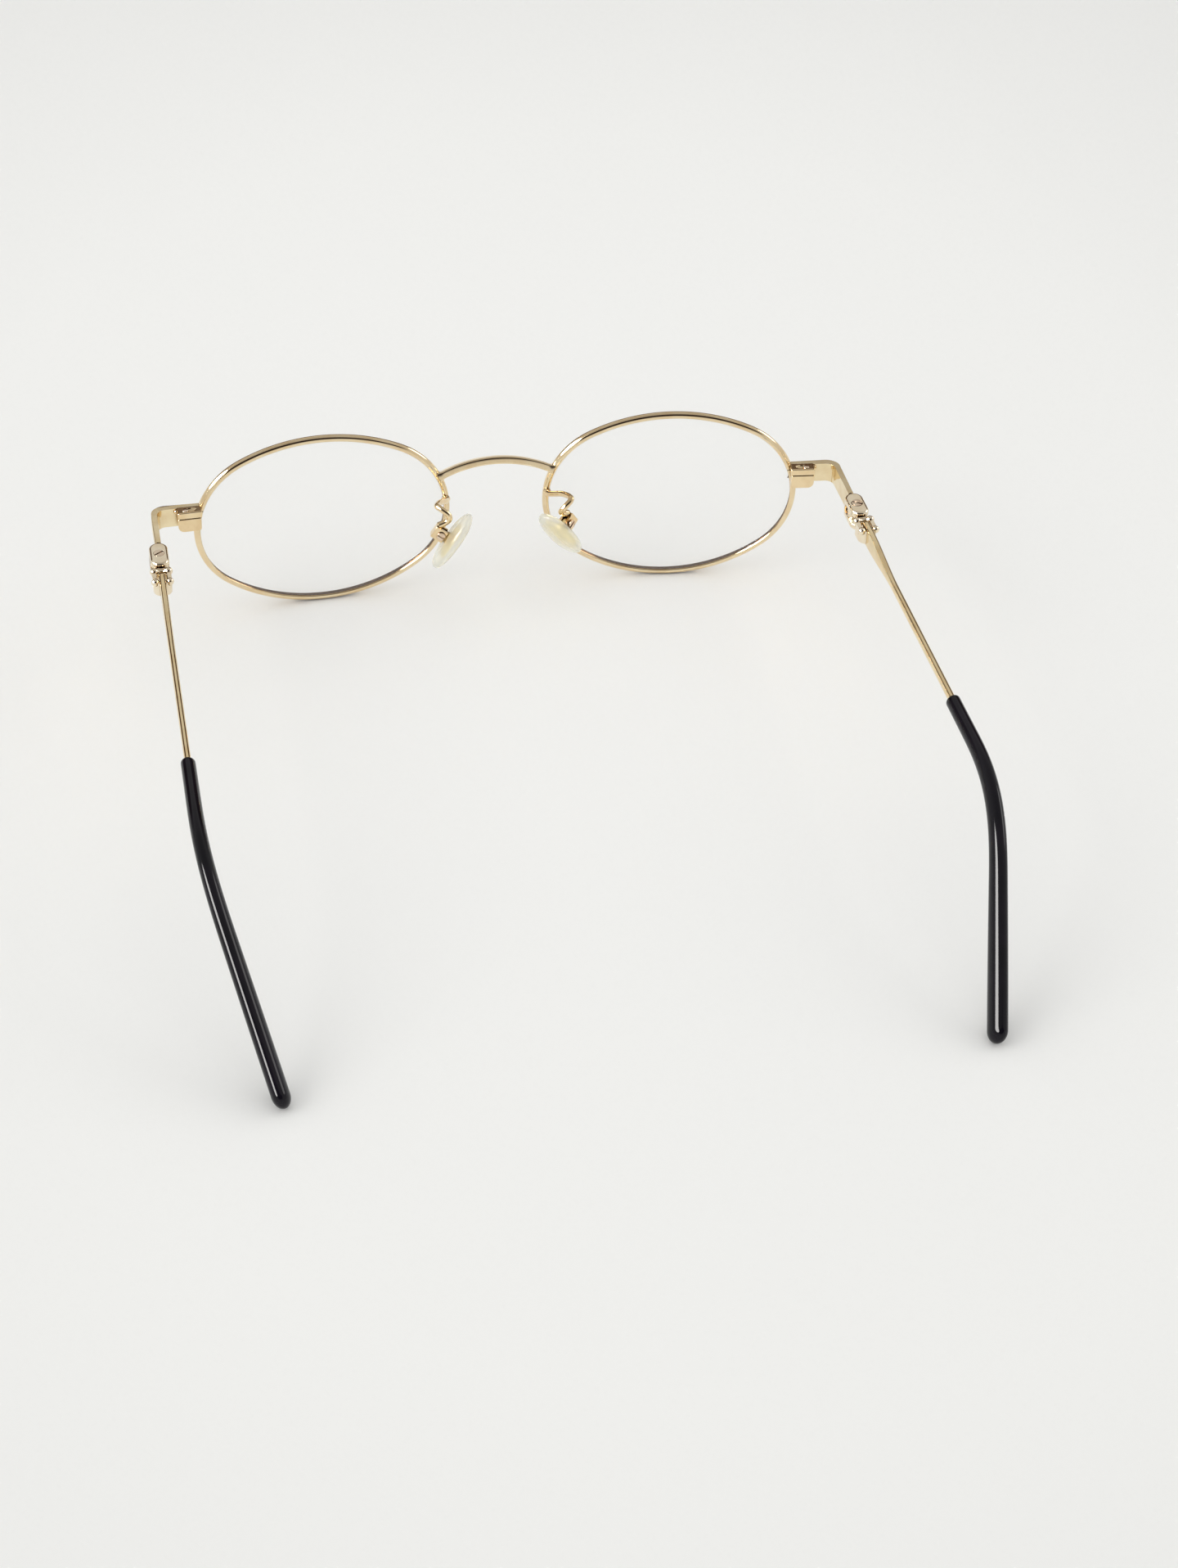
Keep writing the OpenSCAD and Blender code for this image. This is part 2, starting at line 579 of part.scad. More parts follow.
// Nose pads, in a frame of their own: X away from the nose, Y back, Z up along the pad
function pad_at(side) = [side > 0 ? pad_x_left : pad_x_right, pad_back, -pad_drop];
function pad_splay(side) = side > 0 ? pad_splay_left : pad_splay_right;
function from_pad(p, side) = pad_at(side) + rot_z(rot_x(rot_y(p, -pad_flare), pad_pitch), -pad_splay(side));
module pad_frame(side) {
    stand() on_side(side) translate(pad_at(side)) rotate([0, 0, -pad_splay(side)]) rotate([pad_pitch, 0, 0])
        rotate([0, -pad_flare, 0]) children();
}
pad_pin_d = tab_t;
tab_r = tab_t;
tab_x = pad_t * half + tab_r + 2 * box_play;
box_wall = tab_t * wall_share;
box_x = pad_t * half + 3 * box_play;
box_back = box_wall * back_share;
box_end = tab_x + tab_r + box_play + box_back;
box_w = tab_t + 2 * (box_play + box_wall);
core_t = pad_t * plate_t_share;
core_plate_w = pad_w * plate_w_share;
core_plate_len = pad_len * plate_len_share;

// The core: a plate inside the pad, with a tab that stands out to the pad box
module core_plate() {
    rotate([90, 0, 90]) translate([-core_plate_w * half, -core_plate_len * half, -core_t * half])
        linear_extrude(core_t) rounded(core_plate_w, core_plate_len, pad_w * plate_round_share);
}
module core_tab() {
    rotate([90, 0, 0]) plan(tab_t) {
        translate([0, -tab_r]) square([tab_x, 2 * tab_r]);
        translate([tab_x, 0]) circle(r = tab_r);
    }
}
module pad_bore() {
    translate([tab_x, 0, 0]) rotate([90, 0, 0]) translate([0, 0, -box_w])
        cylinder(d = pad_pin_d + 2 * pin_play, h = 2 * box_w);
}
module pad_core(side) {
    color("#d8bd72") pad_frame(side) difference() {
        union() {
            core_plate();
            core_tab();
        }
        pad_bore();
    }
}
function pad_fill(t) = max(pow(1 - pow(abs(t), pad_power), 1 / pad_power), pad_flat_share);
module nose_pad(side) {
    color("#efe9c8", 0.6) pad_frame(side) difference() {
        skin([for (t = [-1, -0.96, -0.82, -0.5, 0, 0.5, 0.82, 0.96, 1])
            ring([pad_t * half * t, 0, 0], [0, -1, 0], [0, 0, 1], pad_w * half * pad_fill(t),
                pad_len * half * pad_fill(t), 40)]);
        core_plate();
        core_tab();
    }
}

// Pad box: two cheeks and a back, open above and below so that the pad can rock
module pad_box(side) {
    color("#d6c08d") pad_frame(side) difference() {
        plan(box_h) difference() {
            translate([box_x, -box_w * half]) square([box_end - box_x, box_w]);
            translate([box_x - tab_t, -box_w * half + box_wall])
                square([tab_x + tab_r + box_play - box_x + tab_t, box_w - 2 * box_wall]);
        }
        pad_bore();
    }
}
module pad_screw(side) {
    pad_head_h = pad_pin_d * pad_head_h_share;
    color("#e6dcc0") pad_frame(side) translate([tab_x, box_w * half, 0]) rotate([-90, 0, 0]) difference() {
        union() {
            translate([0, 0, -box_w]) cylinder(d = pad_pin_d, h = box_w + pad_head_h);
            translate([0, 0, seat_play]) cylinder(d = pad_pin_d * pad_head_share, h = pad_head_h);
        }
        translate([0, 0, pad_head_h]) block([pad_pin_d * 3, slot_w, pad_head_h]);
    }
}

// Pad arm: a wire from the back of the rim, out and back in a loop, then down to the pad box
arm_foot = [nose_gap * half, edge_y * cos(wrap) - edge_x * sin(wrap) + rim_r + seat_play, arm_z];
arm_shares = [[0.05, 0.2, 0.1], [0.4, 0.55, 0.6], [0.85, 0.85, 0.95], [1, 1.04, 0.85], [0.65, 1.12, 0.5]];
module pad_arm(side) {
    back_mid = box_end - box_back * half;
    route = concat([arm_foot], [for (p = arm_shares) arm_foot + [p[0] * arm_out, p[1] * arm_back, p[2] * arm_up]],
        [from_pad([back_mid - tab_r, 0, box_h * half + 2 * tab_r], side),
            from_pad([back_mid, 0, box_h * half - tab_r], side)]);
    color("#d9c9a3") difference() {
        stand() on_side(side) wire(curve(route, 4), arm_d, 10);
        pad_frame(side) block([4 * tab_x, 2 * box_w, box_h + 2 * seat_play]);
    }
}

bridge();
rim(1);  // rim_left
rim(-1);  // rim_right
lens(1);  // lens_left
lens(-1);  // lens_right
rim_lock_lower(1);  // rim_lock_lower_left
rim_lock_lower(-1);  // rim_lock_lower_right
rim_lock_upper(1);  // rim_lock_upper_left
rim_lock_upper(-1);  // rim_lock_upper_right
rim_screw(1);  // rim_screw_left
rim_screw(-1);  // rim_screw_right
end_piece(1);  // end_piece_left
end_piece(-1);  // end_piece_right
hinge_body(1);  // hinge_body_left
hinge_body(-1);  // hinge_body_right
hinge_screw(1);  // hinge_screw_left
hinge_screw(-1);  // hinge_screw_right
hinge_link(1);  // hinge_link_left
hinge_link(-1);  // hinge_link_right
link_pin(1);  // link_pin_left
link_pin(-1);  // link_pin_right
link_beads(1);  // link_beads_left
link_beads(-1);  // link_beads_right
temple(1);  // temple_left
temple(-1);  // temple_right
temple_tip(1);  // temple_tip_left
temple_tip(-1);  // temple_tip_right
pad_arm(1);  // pad_arm_left
pad_arm(-1);  // pad_arm_right
pad_box(1);  // pad_box_left
pad_box(-1);  // pad_box_right
pad_screw(1);  // pad_screw_left
pad_screw(-1);  // pad_screw_right
pad_core(1);  // pad_core_left
pad_core(-1);  // pad_core_right
nose_pad(1);  // nose_pad_left
nose_pad(-1);  // nose_pad_right
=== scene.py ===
import json
import bmesh
import bpy
import numpy as np
from mathutils import Matrix, Vector

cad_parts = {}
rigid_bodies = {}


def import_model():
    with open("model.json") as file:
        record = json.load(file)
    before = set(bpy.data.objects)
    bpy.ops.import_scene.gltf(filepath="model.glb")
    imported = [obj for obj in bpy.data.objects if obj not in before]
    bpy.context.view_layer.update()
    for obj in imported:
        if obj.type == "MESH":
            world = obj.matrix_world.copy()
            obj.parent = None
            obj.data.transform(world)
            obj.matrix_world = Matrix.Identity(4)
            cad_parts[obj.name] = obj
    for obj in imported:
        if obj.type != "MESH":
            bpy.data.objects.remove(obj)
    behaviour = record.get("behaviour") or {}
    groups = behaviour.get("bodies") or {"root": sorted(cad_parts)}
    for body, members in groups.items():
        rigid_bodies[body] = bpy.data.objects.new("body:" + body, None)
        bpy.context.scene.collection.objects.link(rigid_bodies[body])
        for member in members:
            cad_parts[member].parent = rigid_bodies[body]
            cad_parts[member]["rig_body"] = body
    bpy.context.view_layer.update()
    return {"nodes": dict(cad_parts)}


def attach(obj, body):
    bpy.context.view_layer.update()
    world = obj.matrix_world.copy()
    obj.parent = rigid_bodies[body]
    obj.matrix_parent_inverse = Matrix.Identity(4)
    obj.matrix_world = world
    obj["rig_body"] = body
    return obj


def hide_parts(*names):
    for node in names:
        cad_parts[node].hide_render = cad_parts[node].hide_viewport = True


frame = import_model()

NODES = frame["nodes"]
SIDES = ((1, "left"), (-1, "right"))
radians = np.radians

# Sizes of the part's source, in millimetres and radians. 1 is the left side and -1 the right.
lens_w = 48
lens_rise = 16.8
lens_drop = 17.9
lens_t = 1.4
lens_play = 0.05
base_r = 140
bevel_h = 0.4
end_r_share = 0.88
end_r = min(lens_rise, lens_drop) * end_r_share
nose_gap = 19.6
wrap = radians(4)
rim_deep = 1.6
rim_r = rim_deep / 2
rim_cut = 0.16
bridge_z = 6.4
bridge_rise = 2.8
bridge_h = 1.2
bridge_t = 1.7
bridge_lean = radians(12)
end_z = 4
plate_len = 7.5
plate_h = 4
plate_t = 1.3
leg_len = 14.2
corner_r = 2.3
lock_len = 3.1
lock_d = 2.1
lock_low = 2.9
lock_up = 1.3
link_len = 5
link_gap_share = 0.14
bead_d = 1.5
hinge_len = 7
hinge_h = 4.2
temple_len = 128
temple_slope = radians(4)
splay = {1: radians(-1), -1: radians(4.5)}
blade_h = 4
blade_t = 1.2
blade_len = 25
blade_root_share = 0.45
wire_h = 1.7
core_stop_share = 1.5
sleeve_at = 59
sleeve_w = 2.6
mouth_share = 1.1
tip_w = 3.2
tip_h = 4.6
bend_at = 68
bend_len = 32
bend_angle = radians(38)
bend_in = radians(20)
pad_len = 13
pad_w = 7.2
pad_t = 2.4
pad_back = 10
pad_drop = 2
pad_x = {1: 9.9, -1: 11.2}
pad_splay = {1: radians(8), -1: radians(40)}
pad_flare = radians(34)
pad_pitch = radians(7)
arm_d = 0.9
arm_z = 1.8
arm_out = 3.1
arm_back = 7.2
arm_up = 3
box_h = 2.4
box_play = 0.1
tab_t = 0.9
wall_share = 0.55
back_share = 1.4
seat_play = 0.02


def array(p):
    return np.asarray(p, float)


def turn_x(p, angle):
    c, s = np.cos(angle), np.sin(angle)
    return np.stack([p[..., 0], p[..., 1] * c - p[..., 2] * s, p[..., 1] * s + p[..., 2] * c], -1)


def turn_y(p, angle):
    c, s = np.cos(angle), np.sin(angle)
    return np.stack([p[..., 0] * c + p[..., 2] * s, p[..., 1], p[..., 2] * c - p[..., 0] * s], -1)


def turn_z(p, angle):
    c, s = np.cos(angle), np.sin(angle)
    return np.stack([p[..., 0] * c - p[..., 1] * s, p[..., 0] * s + p[..., 1] * c, p[..., 2]], -1)


def unit(v):
    return v / np.linalg.norm(v, axis=-1, keepdims=True)


def ease(t):
    t = np.clip(t, 0, 1)
    return t * t * (3 - 2 * t)


def full_circle(count):
    return np.linspace(0, 2 * np.pi, count, endpoint=False)


# The oval of the lens: four tangent arcs on the ball of the base curve
end_tilt = (lens_w / 2 - end_r) / base_r
end_rho = end_r / base_r


def arc_tilt(height):
    """Tilt of the centre of the long arc that passes this height above or below the middle."""
    d = (height - end_r) / base_r
    return np.arctan2(np.cos(d) - np.cos(end_tilt), np.sin(d))


def arc_half(height):
    """Half the angle that the long arc runs through."""
    return np.arctan2(np.tan(end_tilt), np.sin(arc_tilt(height)))


def end_half(height):
    """The angle that the end arc runs through on the side of that long arc."""
    return np.arctan2(np.tan(arc_tilt(height)), np.sin(end_tilt))


top_tilt = arc_tilt(lens_rise)
low_tilt = arc_tilt(lens_drop)
top_rho = top_tilt + lens_rise / base_r
low_rho = low_tilt + lens_drop / base_r
edge_x = base_r * np.sin(lens_w / 2 / base_r)
edge_y = base_r * (1 - np.cos(lens_w / 2 / base_r))
eye_x = nose_gap / 2 + edge_x * np.cos(wrap) + edge_y * np.sin(wrap)


def ray(rho, phi):
    """Direction at the angle rho from the ball's axis, turned by phi about it."""
    return np.stack([np.sin(rho) * np.cos(phi), np.sin(rho) * np.sin(phi), np.cos(rho) + 0 * phi], -1)


def oval(wider=0.0, further=0.0, count=64, split=None, gap=0.0):
    """Directions round the oval, some millimetres wider and an angle further out.

    With split, it starts just above that angle of the outer end and stops just below it.
    """
    grow = wider / base_r + further
    up, low = end_half(lens_rise), end_half(lens_drop)
    top, bottom = arc_half(lens_rise), arc_half(lens_drop)
    quarter = np.pi / 2

    def sweep(a, b, k):
        return np.linspace(a, b, k, endpoint=False)

    def outer(angles):
        return turn_y(ray(end_rho + grow, angles), end_tilt)

    parts = [turn_x(ray(top_rho + grow, sweep(quarter - top, quarter + top, count)), top_tilt),
             turn_y(ray(end_rho + grow, sweep(2 * quarter - up, 2 * quarter + low, count)), -end_tilt),
             turn_x(ray(low_rho + grow, sweep(-quarter - bottom, -quarter + bottom, count)), -low_tilt)]
    if split is None:
        return np.concatenate([outer(sweep(-low, up, count))] + parts)
    some = count * 2 // 3
    last = [outer(sweep(-low, split - gap, some)), outer(array([split - gap]))]
    return np.concatenate([outer(sweep(split + gap, up, some))] + parts + last)


# The place where the end piece turns its corner, in the front's own frame
corner = array([eye_x + edge_x * np.cos(wrap) - edge_y * np.sin(wrap) + (rim_r + plate_len) * np.cos(wrap),
                edge_x * np.sin(wrap) + edge_y * np.cos(wrap) + (rim_r + plate_len) * np.sin(wrap)
                - (rim_deep - plate_t) / 2,
                end_z])

# The line of a temple: how far back and how far down it is at each mark along it
path_steps = 130
path_marks = np.linspace(0, temple_len, path_steps + 1)
path_angles = bend_angle * ease(((path_marks[:-1] + path_marks[1:]) / 2 - bend_at) / bend_len)
path_moves = np.stack([np.cos(path_angles), np.sin(path_angles)], -1) * temple_len / path_steps
path = np.concatenate([[[0, 0]], np.cumsum(path_moves, 0)])


def spot(along):
    """Point on the temple's line, from the hinge."""
    back, down = (np.interp(along, path_marks, path[:, k]) for k in (0, 1))
    return np.stack([-down * np.sin(bend_in), back, -down * np.cos(bend_in)], -1)


def up_dir(along):
    """Direction across the temple's line, upward."""
    bend = bend_angle * ease((along - bend_at) / bend_len)
    return np.stack([np.cos(bend) * np.sin(bend_in), np.sin(bend), np.cos(bend) * np.cos(bend_in)], -1)


side_dir = array([np.cos(bend_in), 0, -np.sin(bend_in)])


def from_hinge(p, angle):
    return corner + turn_x(turn_z(array(p) + [0, leg_len, 0], -angle), -temple_slope)


# How the glasses stand: on the lowest points of the rims and on the sleeves' ends
tip_end = from_hinge(spot(temple_len - tip_h / 2), (splay[1] + splay[-1]) / 2)
tip_r = np.hypot(tip_h * np.cos(bend_in), tip_w * np.sin(bend_in)) / 2
low_y = base_r * (1 - np.cos(lens_drop / base_r)) * np.cos(wrap)
low_z = -base_r * np.sin(lens_drop / base_r)
lean = (np.arcsin((tip_r - rim_r) / np.hypot(tip_end[1] - low_y, tip_end[2] - low_z))
        - np.arctan2(tip_end[2] - low_z, tip_end[1] - low_y))
stand_y = low_z * np.sin(lean) - low_y * np.cos(lean)
stand_z = rim_r - low_y * np.sin(lean) - low_z * np.cos(lean)


def stand(p, side=1):
    """From the front's own frame, in millimetres, to the row frame, in metres."""
    return (turn_x(array(p), lean) + [0, stand_y, stand_z]) * [side, 1, 1] / 1000


def unstand(p, side):
    """From the row frame, in metres, back to the front's own frame, in millimetres."""
    return turn_x(array(p) * 1000 * [side, 1, 1] - [0, stand_y, stand_z], -lean)


def ball(p):
    """From the frame of the lens's ball to the front's own frame."""
    return array([eye_x, 0, 0]) + turn_z(np.stack([p[..., 0], base_r - p[..., 2], p[..., 1]], -1), wrap)


def at_corner(p, side):
    return stand(corner + turn_x(p, -temple_slope), side)


def to_corner(p, side):
    return turn_x(unstand(p, side) - corner, temple_slope)


def at_hinge(p, side):
    return stand(from_hinge(p, splay[side]), side)


def to_hinge(p, side):
    return turn_z(to_corner(p, side), splay[side]) - [0, leg_len, 0]


def at_lock(p, side):
    return at_corner(turn_z(array(p), wrap), side)


def from_pad(p, side):
    turned = turn_z(turn_x(turn_y(array(p), -pad_flare), pad_pitch), -pad_splay[side])
    return array([pad_x[side], pad_back, -pad_drop]) + turned


def to_pad(p, side):
    q = unstand(p, side) - [pad_x[side], pad_back, -pad_drop]
    return turn_y(turn_x(turn_z(q, pad_splay[side]), -pad_pitch), pad_flare)


# Nodes that the materials and the world share
def new_material(name):
    material = bpy.data.materials.new(name)
    material.use_nodes = True
    tree = material.node_tree
    return material, tree, tree.nodes["Principled BSDF"], tree.nodes.new("ShaderNodeTexCoord")


def feed(tree, value, socket):
    """Gives a socket a number, a colour or another node's output."""
    if isinstance(value, (int, float)):
        socket.default_value = value
    elif isinstance(value, tuple):
        socket.default_value = (*value, 1)
    else:
        tree.links.new(value, socket)


def noise(tree, coords, scale, detail=3.0, rough=0.55):
    node = tree.nodes.new("ShaderNodeTexNoise")
    node.inputs["Scale"].default_value = scale
    node.inputs["Detail"].default_value = detail
    node.inputs["Roughness"].default_value = rough
    tree.links.new(coords.outputs["Object"], node.inputs["Vector"])
    return node.outputs["Fac"]


def ramp(tree, value, stops):
    node = tree.nodes.new("ShaderNodeValToRGB")
    elements = node.color_ramp.elements
    elements.remove(elements[1])
    for k, (at, colour) in enumerate(stops):
        stop = elements[0] if k == 0 else elements.new(at)
        stop.position = at
        stop.color = (*colour, 1)
    tree.links.new(value, node.inputs["Fac"])
    return node.outputs["Color"]


def blend(tree, kind, share, first, second):
    node = tree.nodes.new("ShaderNodeMix")
    node.data_type = "RGBA"
    node.blend_type = kind
    for name, value in (("Factor", share), ("A", first), ("B", second)):
        feed(tree, value, node.inputs[name])
    return node.outputs["Result"]


def bump(tree, shader, height, strength, depth):
    node = tree.nodes.new("ShaderNodeBump")
    node.inputs["Strength"].default_value = strength
    node.inputs["Distance"].default_value = depth
    tree.links.new(height, node.inputs["Height"])
    tree.links.new(node.outputs["Normal"], shader.inputs["Normal"])


def grey(v):
    return (v, v, v)


def clouds(tree, coords, scale, detail, dark, light, rough=0.55, low=0.3, high=0.75):
    """Soft clouds between two colours."""
    return ramp(tree, noise(tree, coords, scale, detail, rough), [(low, dark), (high, light)])


# Materials
def gold(name, pale, deep, rough=(0.05, 0.13), grain=900, grain_depth=2.5e-6, crease=0.9):
    """Plated metal: clouds of two tones, painted shade that darkens it to brown where pieces meet and in
    hollows, uneven roughness and a fine grain.
    """
    material, tree, shader, coords = new_material(name)
    shader.inputs["Metallic"].default_value = 1
    tone = clouds(tree, coords, 260, 4, deep, pale, high=0.62)
    # Painted shade: ambient occlusion darkens the base colour to brown within crease millimetres of other
    # surfaces, where pieces meet and in hollows.
    open_share = tree.nodes.new("ShaderNodeAmbientOcclusion")
    open_share.samples = 8
    open_share.inputs["Distance"].default_value = crease / 1000
    crease_shade_stops = [(0.25, (0.16, 0.09, 0.05)), (0.62, (0.8, 0.74, 0.66)), (0.85, grey(1))]
    tone_with_painted_shade = blend(tree, "MULTIPLY", 1, tone, ramp(tree, open_share.outputs["AO"], crease_shade_stops))
    tree.links.new(tone_with_painted_shade, shader.inputs["Base Color"])
    tree.links.new(clouds(tree, coords, 700, 5, grey(rough[0]), grey(rough[1]), rough=0.65),
                   shader.inputs["Roughness"])
    bump(tree, shader, noise(tree, coords, grain), 0.35, grain_depth)
    return material


def sleeve_material():
    """Black plastic with a slight violet cast and a faintly uneven, polished face."""
    material, tree, shader, coords = new_material("sleeve_black")
    tone = clouds(tree, coords, 120, 3, (0.004, 0.004, 0.006), (0.009, 0.007, 0.012), low=0.35, high=0.7)
    tree.links.new(tone, shader.inputs["Base Color"])
    tree.links.new(clouds(tree, coords, 500, 4, grey(0.03), grey(0.08)), shader.inputs["Roughness"])
    shader.inputs["Specular IOR Level"].default_value = 0.21
    bump(tree, shader, noise(tree, coords, 160, 2), 0.2, 2e-5)
    return material


def pad_material():
    """Clear plastic with a yellow cast."""
    material, tree, shader, coords = new_material("pad_clear")
    tree.links.new(clouds(tree, coords, 300, 3, (0.985, 0.98, 0.84), (0.995, 0.99, 0.89), high=0.7),
                   shader.inputs["Base Color"])
    tree.links.new(clouds(tree, coords, 600, 4, grey(0.1), grey(0.24)), shader.inputs["Roughness"])
    shader.inputs["Transmission Weight"].default_value = 0.5
    shader.inputs["Alpha"].default_value = 0.62
    shader.inputs["IOR"].default_value = 1.46
    bump(tree, shader, noise(tree, coords, 420, 2), 0.15, 1e-5)
    return material


def lens_material():
    """Clear glass that is hardly seen."""
    material, tree, shader, coords = new_material("lens_clear")
    tree.links.new(clouds(tree, coords, 40, 2, (0.93, 0.96, 0.96), (0.97, 0.98, 0.97), high=0.7),
                   shader.inputs["Base Color"])
    tree.links.new(clouds(tree, coords, 90, 2, grey(0.02), grey(0.05)), shader.inputs["Roughness"])
    shader.inputs["Alpha"].default_value = 0.06
    shader.inputs["IOR"].default_value = 1.5
    return material


def floor_material():
    """Pale, papery floor with a painted pool of light: lightest round the glasses and darker towards the
    edges.
    """
    material, tree, shader, coords = new_material("floor_pale")
    place = tree.nodes.new("ShaderNodeMapping")
    place.vector_type = "TEXTURE"
    place.inputs["Location"].default_value = (-0.02, 0.02, 0)
    place.inputs["Scale"].default_value = (0.25, 0.34, 1)
    light_pool = tree.nodes.new("ShaderNodeTexGradient")
    light_pool.gradient_type = "SPHERICAL"
    tree.links.new(coords.outputs["Object"], place.inputs["Vector"])
    tree.links.new(place.outputs["Vector"], light_pool.inputs["Vector"])
    # Painted light: these tones make a pool of light round the glasses, and are multiplied below by the
    # floor's own faint grain.
    tones = [(0.0, (0.855, 0.855, 0.84)), (0.45, (0.93, 0.93, 0.912)), (1.0, (0.955, 0.955, 0.94))]
    paper_and_light_pool = blend(tree, "MULTIPLY", 1, ramp(tree, light_pool.outputs["Fac"], tones),
                  clouds(tree, coords, 3, 2, grey(0.985), grey(1), high=0.7))
    tree.links.new(paper_and_light_pool, shader.inputs["Base Color"])
    shader.inputs["Roughness"].default_value = 0.9
    shader.inputs["Specular IOR Level"].default_value = 0.1
    return material


rim_gold = gold("rim_gold", (0.87, 0.72, 0.48), (0.79, 0.61, 0.37))
plate_gold = gold("plate_gold", (0.88, 0.75, 0.50), (0.78, 0.62, 0.37))
lock_gold = gold("lock_gold", (0.88, 0.71, 0.45), (0.78, 0.58, 0.33), (0.06, 0.13))
temple_gold = gold("temple_gold", (0.88, 0.73, 0.46), (0.78, 0.60, 0.34))
hinge_gold = gold("hinge_gold", (0.92, 0.82, 0.64), (0.84, 0.70, 0.50), (0.04, 0.1), crease=1.3)
screw_gold = gold("screw_gold", (0.84, 0.70, 0.54), (0.66, 0.47, 0.33), (0.1, 0.2), 1500, 5e-6)
core_gold = gold("core_gold", (0.95, 0.84, 0.50), (0.88, 0.74, 0.38), (0.12, 0.24))
sleeve_black = sleeve_material()
pad_clear = pad_material()
lens_clear = lens_material()


# Helpers for the meshes
def finish_piece(name, bm, material, body, nodes, sharp=38):
    bmesh.ops.recalc_face_normals(bm, faces=bm.faces)
    mesh = bpy.data.meshes.new(name)
    bm.to_mesh(mesh)
    bm.free()
    mesh.shade_smooth()
    mesh.set_sharp_from_angle(angle=radians(sharp))
    mesh.materials.append(material)
    o = bpy.data.objects.new(name, mesh)
    bpy.context.scene.collection.objects.link(o)
    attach(o, body)
    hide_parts(*nodes)
    return o


def add_loft(bm, rings):
    """A skin over the rings, closed by a face at each end."""
    rows = [[bm.verts.new(p) for p in ring] for ring in rings]
    n = len(rows[0])
    for a, b in zip(rows, rows[1:]):
        for i in range(n):
            bm.faces.new((a[i], a[(i + 1) % n], b[(i + 1) % n], b[i]))
    bm.faces.new(rows[0])
    bm.faces.new(rows[-1][::-1])


def lofted(rings):
    bm = bmesh.new()
    add_loft(bm, rings)
    return bm


def add_drop(bm, at, radius):
    """A drop of solder: its place in metres, its radius in millimetres."""
    place = Matrix.Translation(Vector(at))
    bmesh.ops.create_icosphere(bm, subdivisions=3, radius=radius / 1000, matrix=place)


def rounded_section(w, h, r, k):
    """Rounded rectangle w by h, centred, with corner radius r and k points to a corner."""
    points = []
    for q, (sx, sy) in enumerate(((1, 1), (-1, 1), (-1, -1), (1, -1))):
        for a in np.linspace(0, np.pi / 2, k) + q * np.pi / 2:
            points.append([sx * (w / 2 - r) + r * np.cos(a), sy * (h / 2 - r) + r * np.sin(a)])
    return array(points)


def frames(line):
    """Directions across and up along a line, carried on without twist."""
    ahead = unit(np.gradient(line, axis=0))
    a = unit(np.cross(ahead[0], [0, 0, 1]))
    across = []
    for d in ahead:
        a = unit(a - np.dot(a, d) * d)
        across.append(a)
    across = array(across)
    return across, np.cross(across, ahead)


def curve(points, count):
    """A smooth curve through the points, with count steps from each to the next."""
    p = array(points)
    out = []
    for i in range(len(p) - 1):
        a, b, c, d = p[max(i - 1, 0)], p[i], p[i + 1], p[min(i + 2, len(p) - 1)]
        for t in np.arange(count) / count:
            square = 2 * a - 5 * b + 4 * c - d
            cube = 3 * b - a - 3 * c + d
            out.append(b + t / 2 * ((c - a) + t * (square + t * cube)))
    return array(out + [p[-1]])


def soften(bm, radius, segments, pick=None):
    """Rounds the sharp edges, or the ones among them that pick chooses."""
    edges = [e for e in bm.edges if len(e.link_faces) == 2 and e.calc_face_angle(0) > radians(28)]
    if pick:
        edges = [e for e in edges if pick(e)]
    if radius and edges:
        bmesh.ops.bevel(bm, geom=edges, offset=radius / 1000, offset_type="OFFSET", segments=segments,
                        profile=0.5, affect="EDGES", clamp_overlap=True)


def refined(name, node, material, width=0, segments=3, round_at=None, round_r=0, move=None):
    """A CAD solid with its flat faces merged and its edges rounded, those of round_at to a wider radius."""
    bm = bmesh.new()
    bm.from_mesh(NODES[node].data)
    bmesh.ops.remove_doubles(bm, verts=bm.verts, dist=2e-6)
    bmesh.ops.dissolve_limit(bm, angle_limit=radians(1), verts=bm.verts, edges=bm.edges)
    if move:
        for v, q in zip(bm.verts, move(array([list(v.co) for v in bm.verts]))):
            v.co = q
    if round_at:
        soften(bm, round_r, 6, round_at)
    soften(bm, width, segments)
    o = finish_piece(name, bm, material, NODES[node]["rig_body"], [node], 50)
    shading = o.modifiers.new("even_shading", "WEIGHTED_NORMAL")
    shading.keep_sharp = True


# Rims
cut_z = (lock_low + rim_cut + lock_up) / 2 - lock_up - rim_cut / 2
cut_at = np.arcsin((end_z + cut_z) / end_r)
cut_gap = rim_cut / 2 / end_r / np.cos(cut_at)


def eyewire_section():
    """Round on the outside, with two rounded lips and a groove between them on the inside."""
    lip_r, lip_from, lip_to = 0.26, radians(96), radians(195)
    groove_in, groove_half, groove_bottom = 0.27, 0.3, 0.02
    arc = np.linspace(-lip_from, lip_from, 29)
    round_side = rim_r * np.stack([np.cos(arc), np.sin(arc)], -1)
    turn = np.linspace(lip_from, lip_to, 9)
    lip_middle = (rim_r - lip_r) * array([np.cos(lip_from), np.sin(lip_from)])
    lip = lip_middle + lip_r * np.stack([np.cos(turn), np.sin(turn)], -1)
    groove = [[-groove_in, groove_half], [-groove_bottom, 0], [-groove_in, -groove_half]]
    return np.concatenate([round_side, lip[1:], groove, lip[:0:-1] * [1, -1]])


def add_eyewire(side, name):
    section = eyewire_section()
    rings = []
    for mark, outward in zip(oval(0, 0, 64, cut_at, cut_gap), oval(0, np.pi / 2, 64, cut_at, cut_gap)):
        rings.append(stand(ball((base_r + section[:, 1:2]) * mark + section[:, :1] * outward), side))
    finish_piece("eyewire_" + name, lofted(rings), rim_gold, "front", ["rim_" + name])


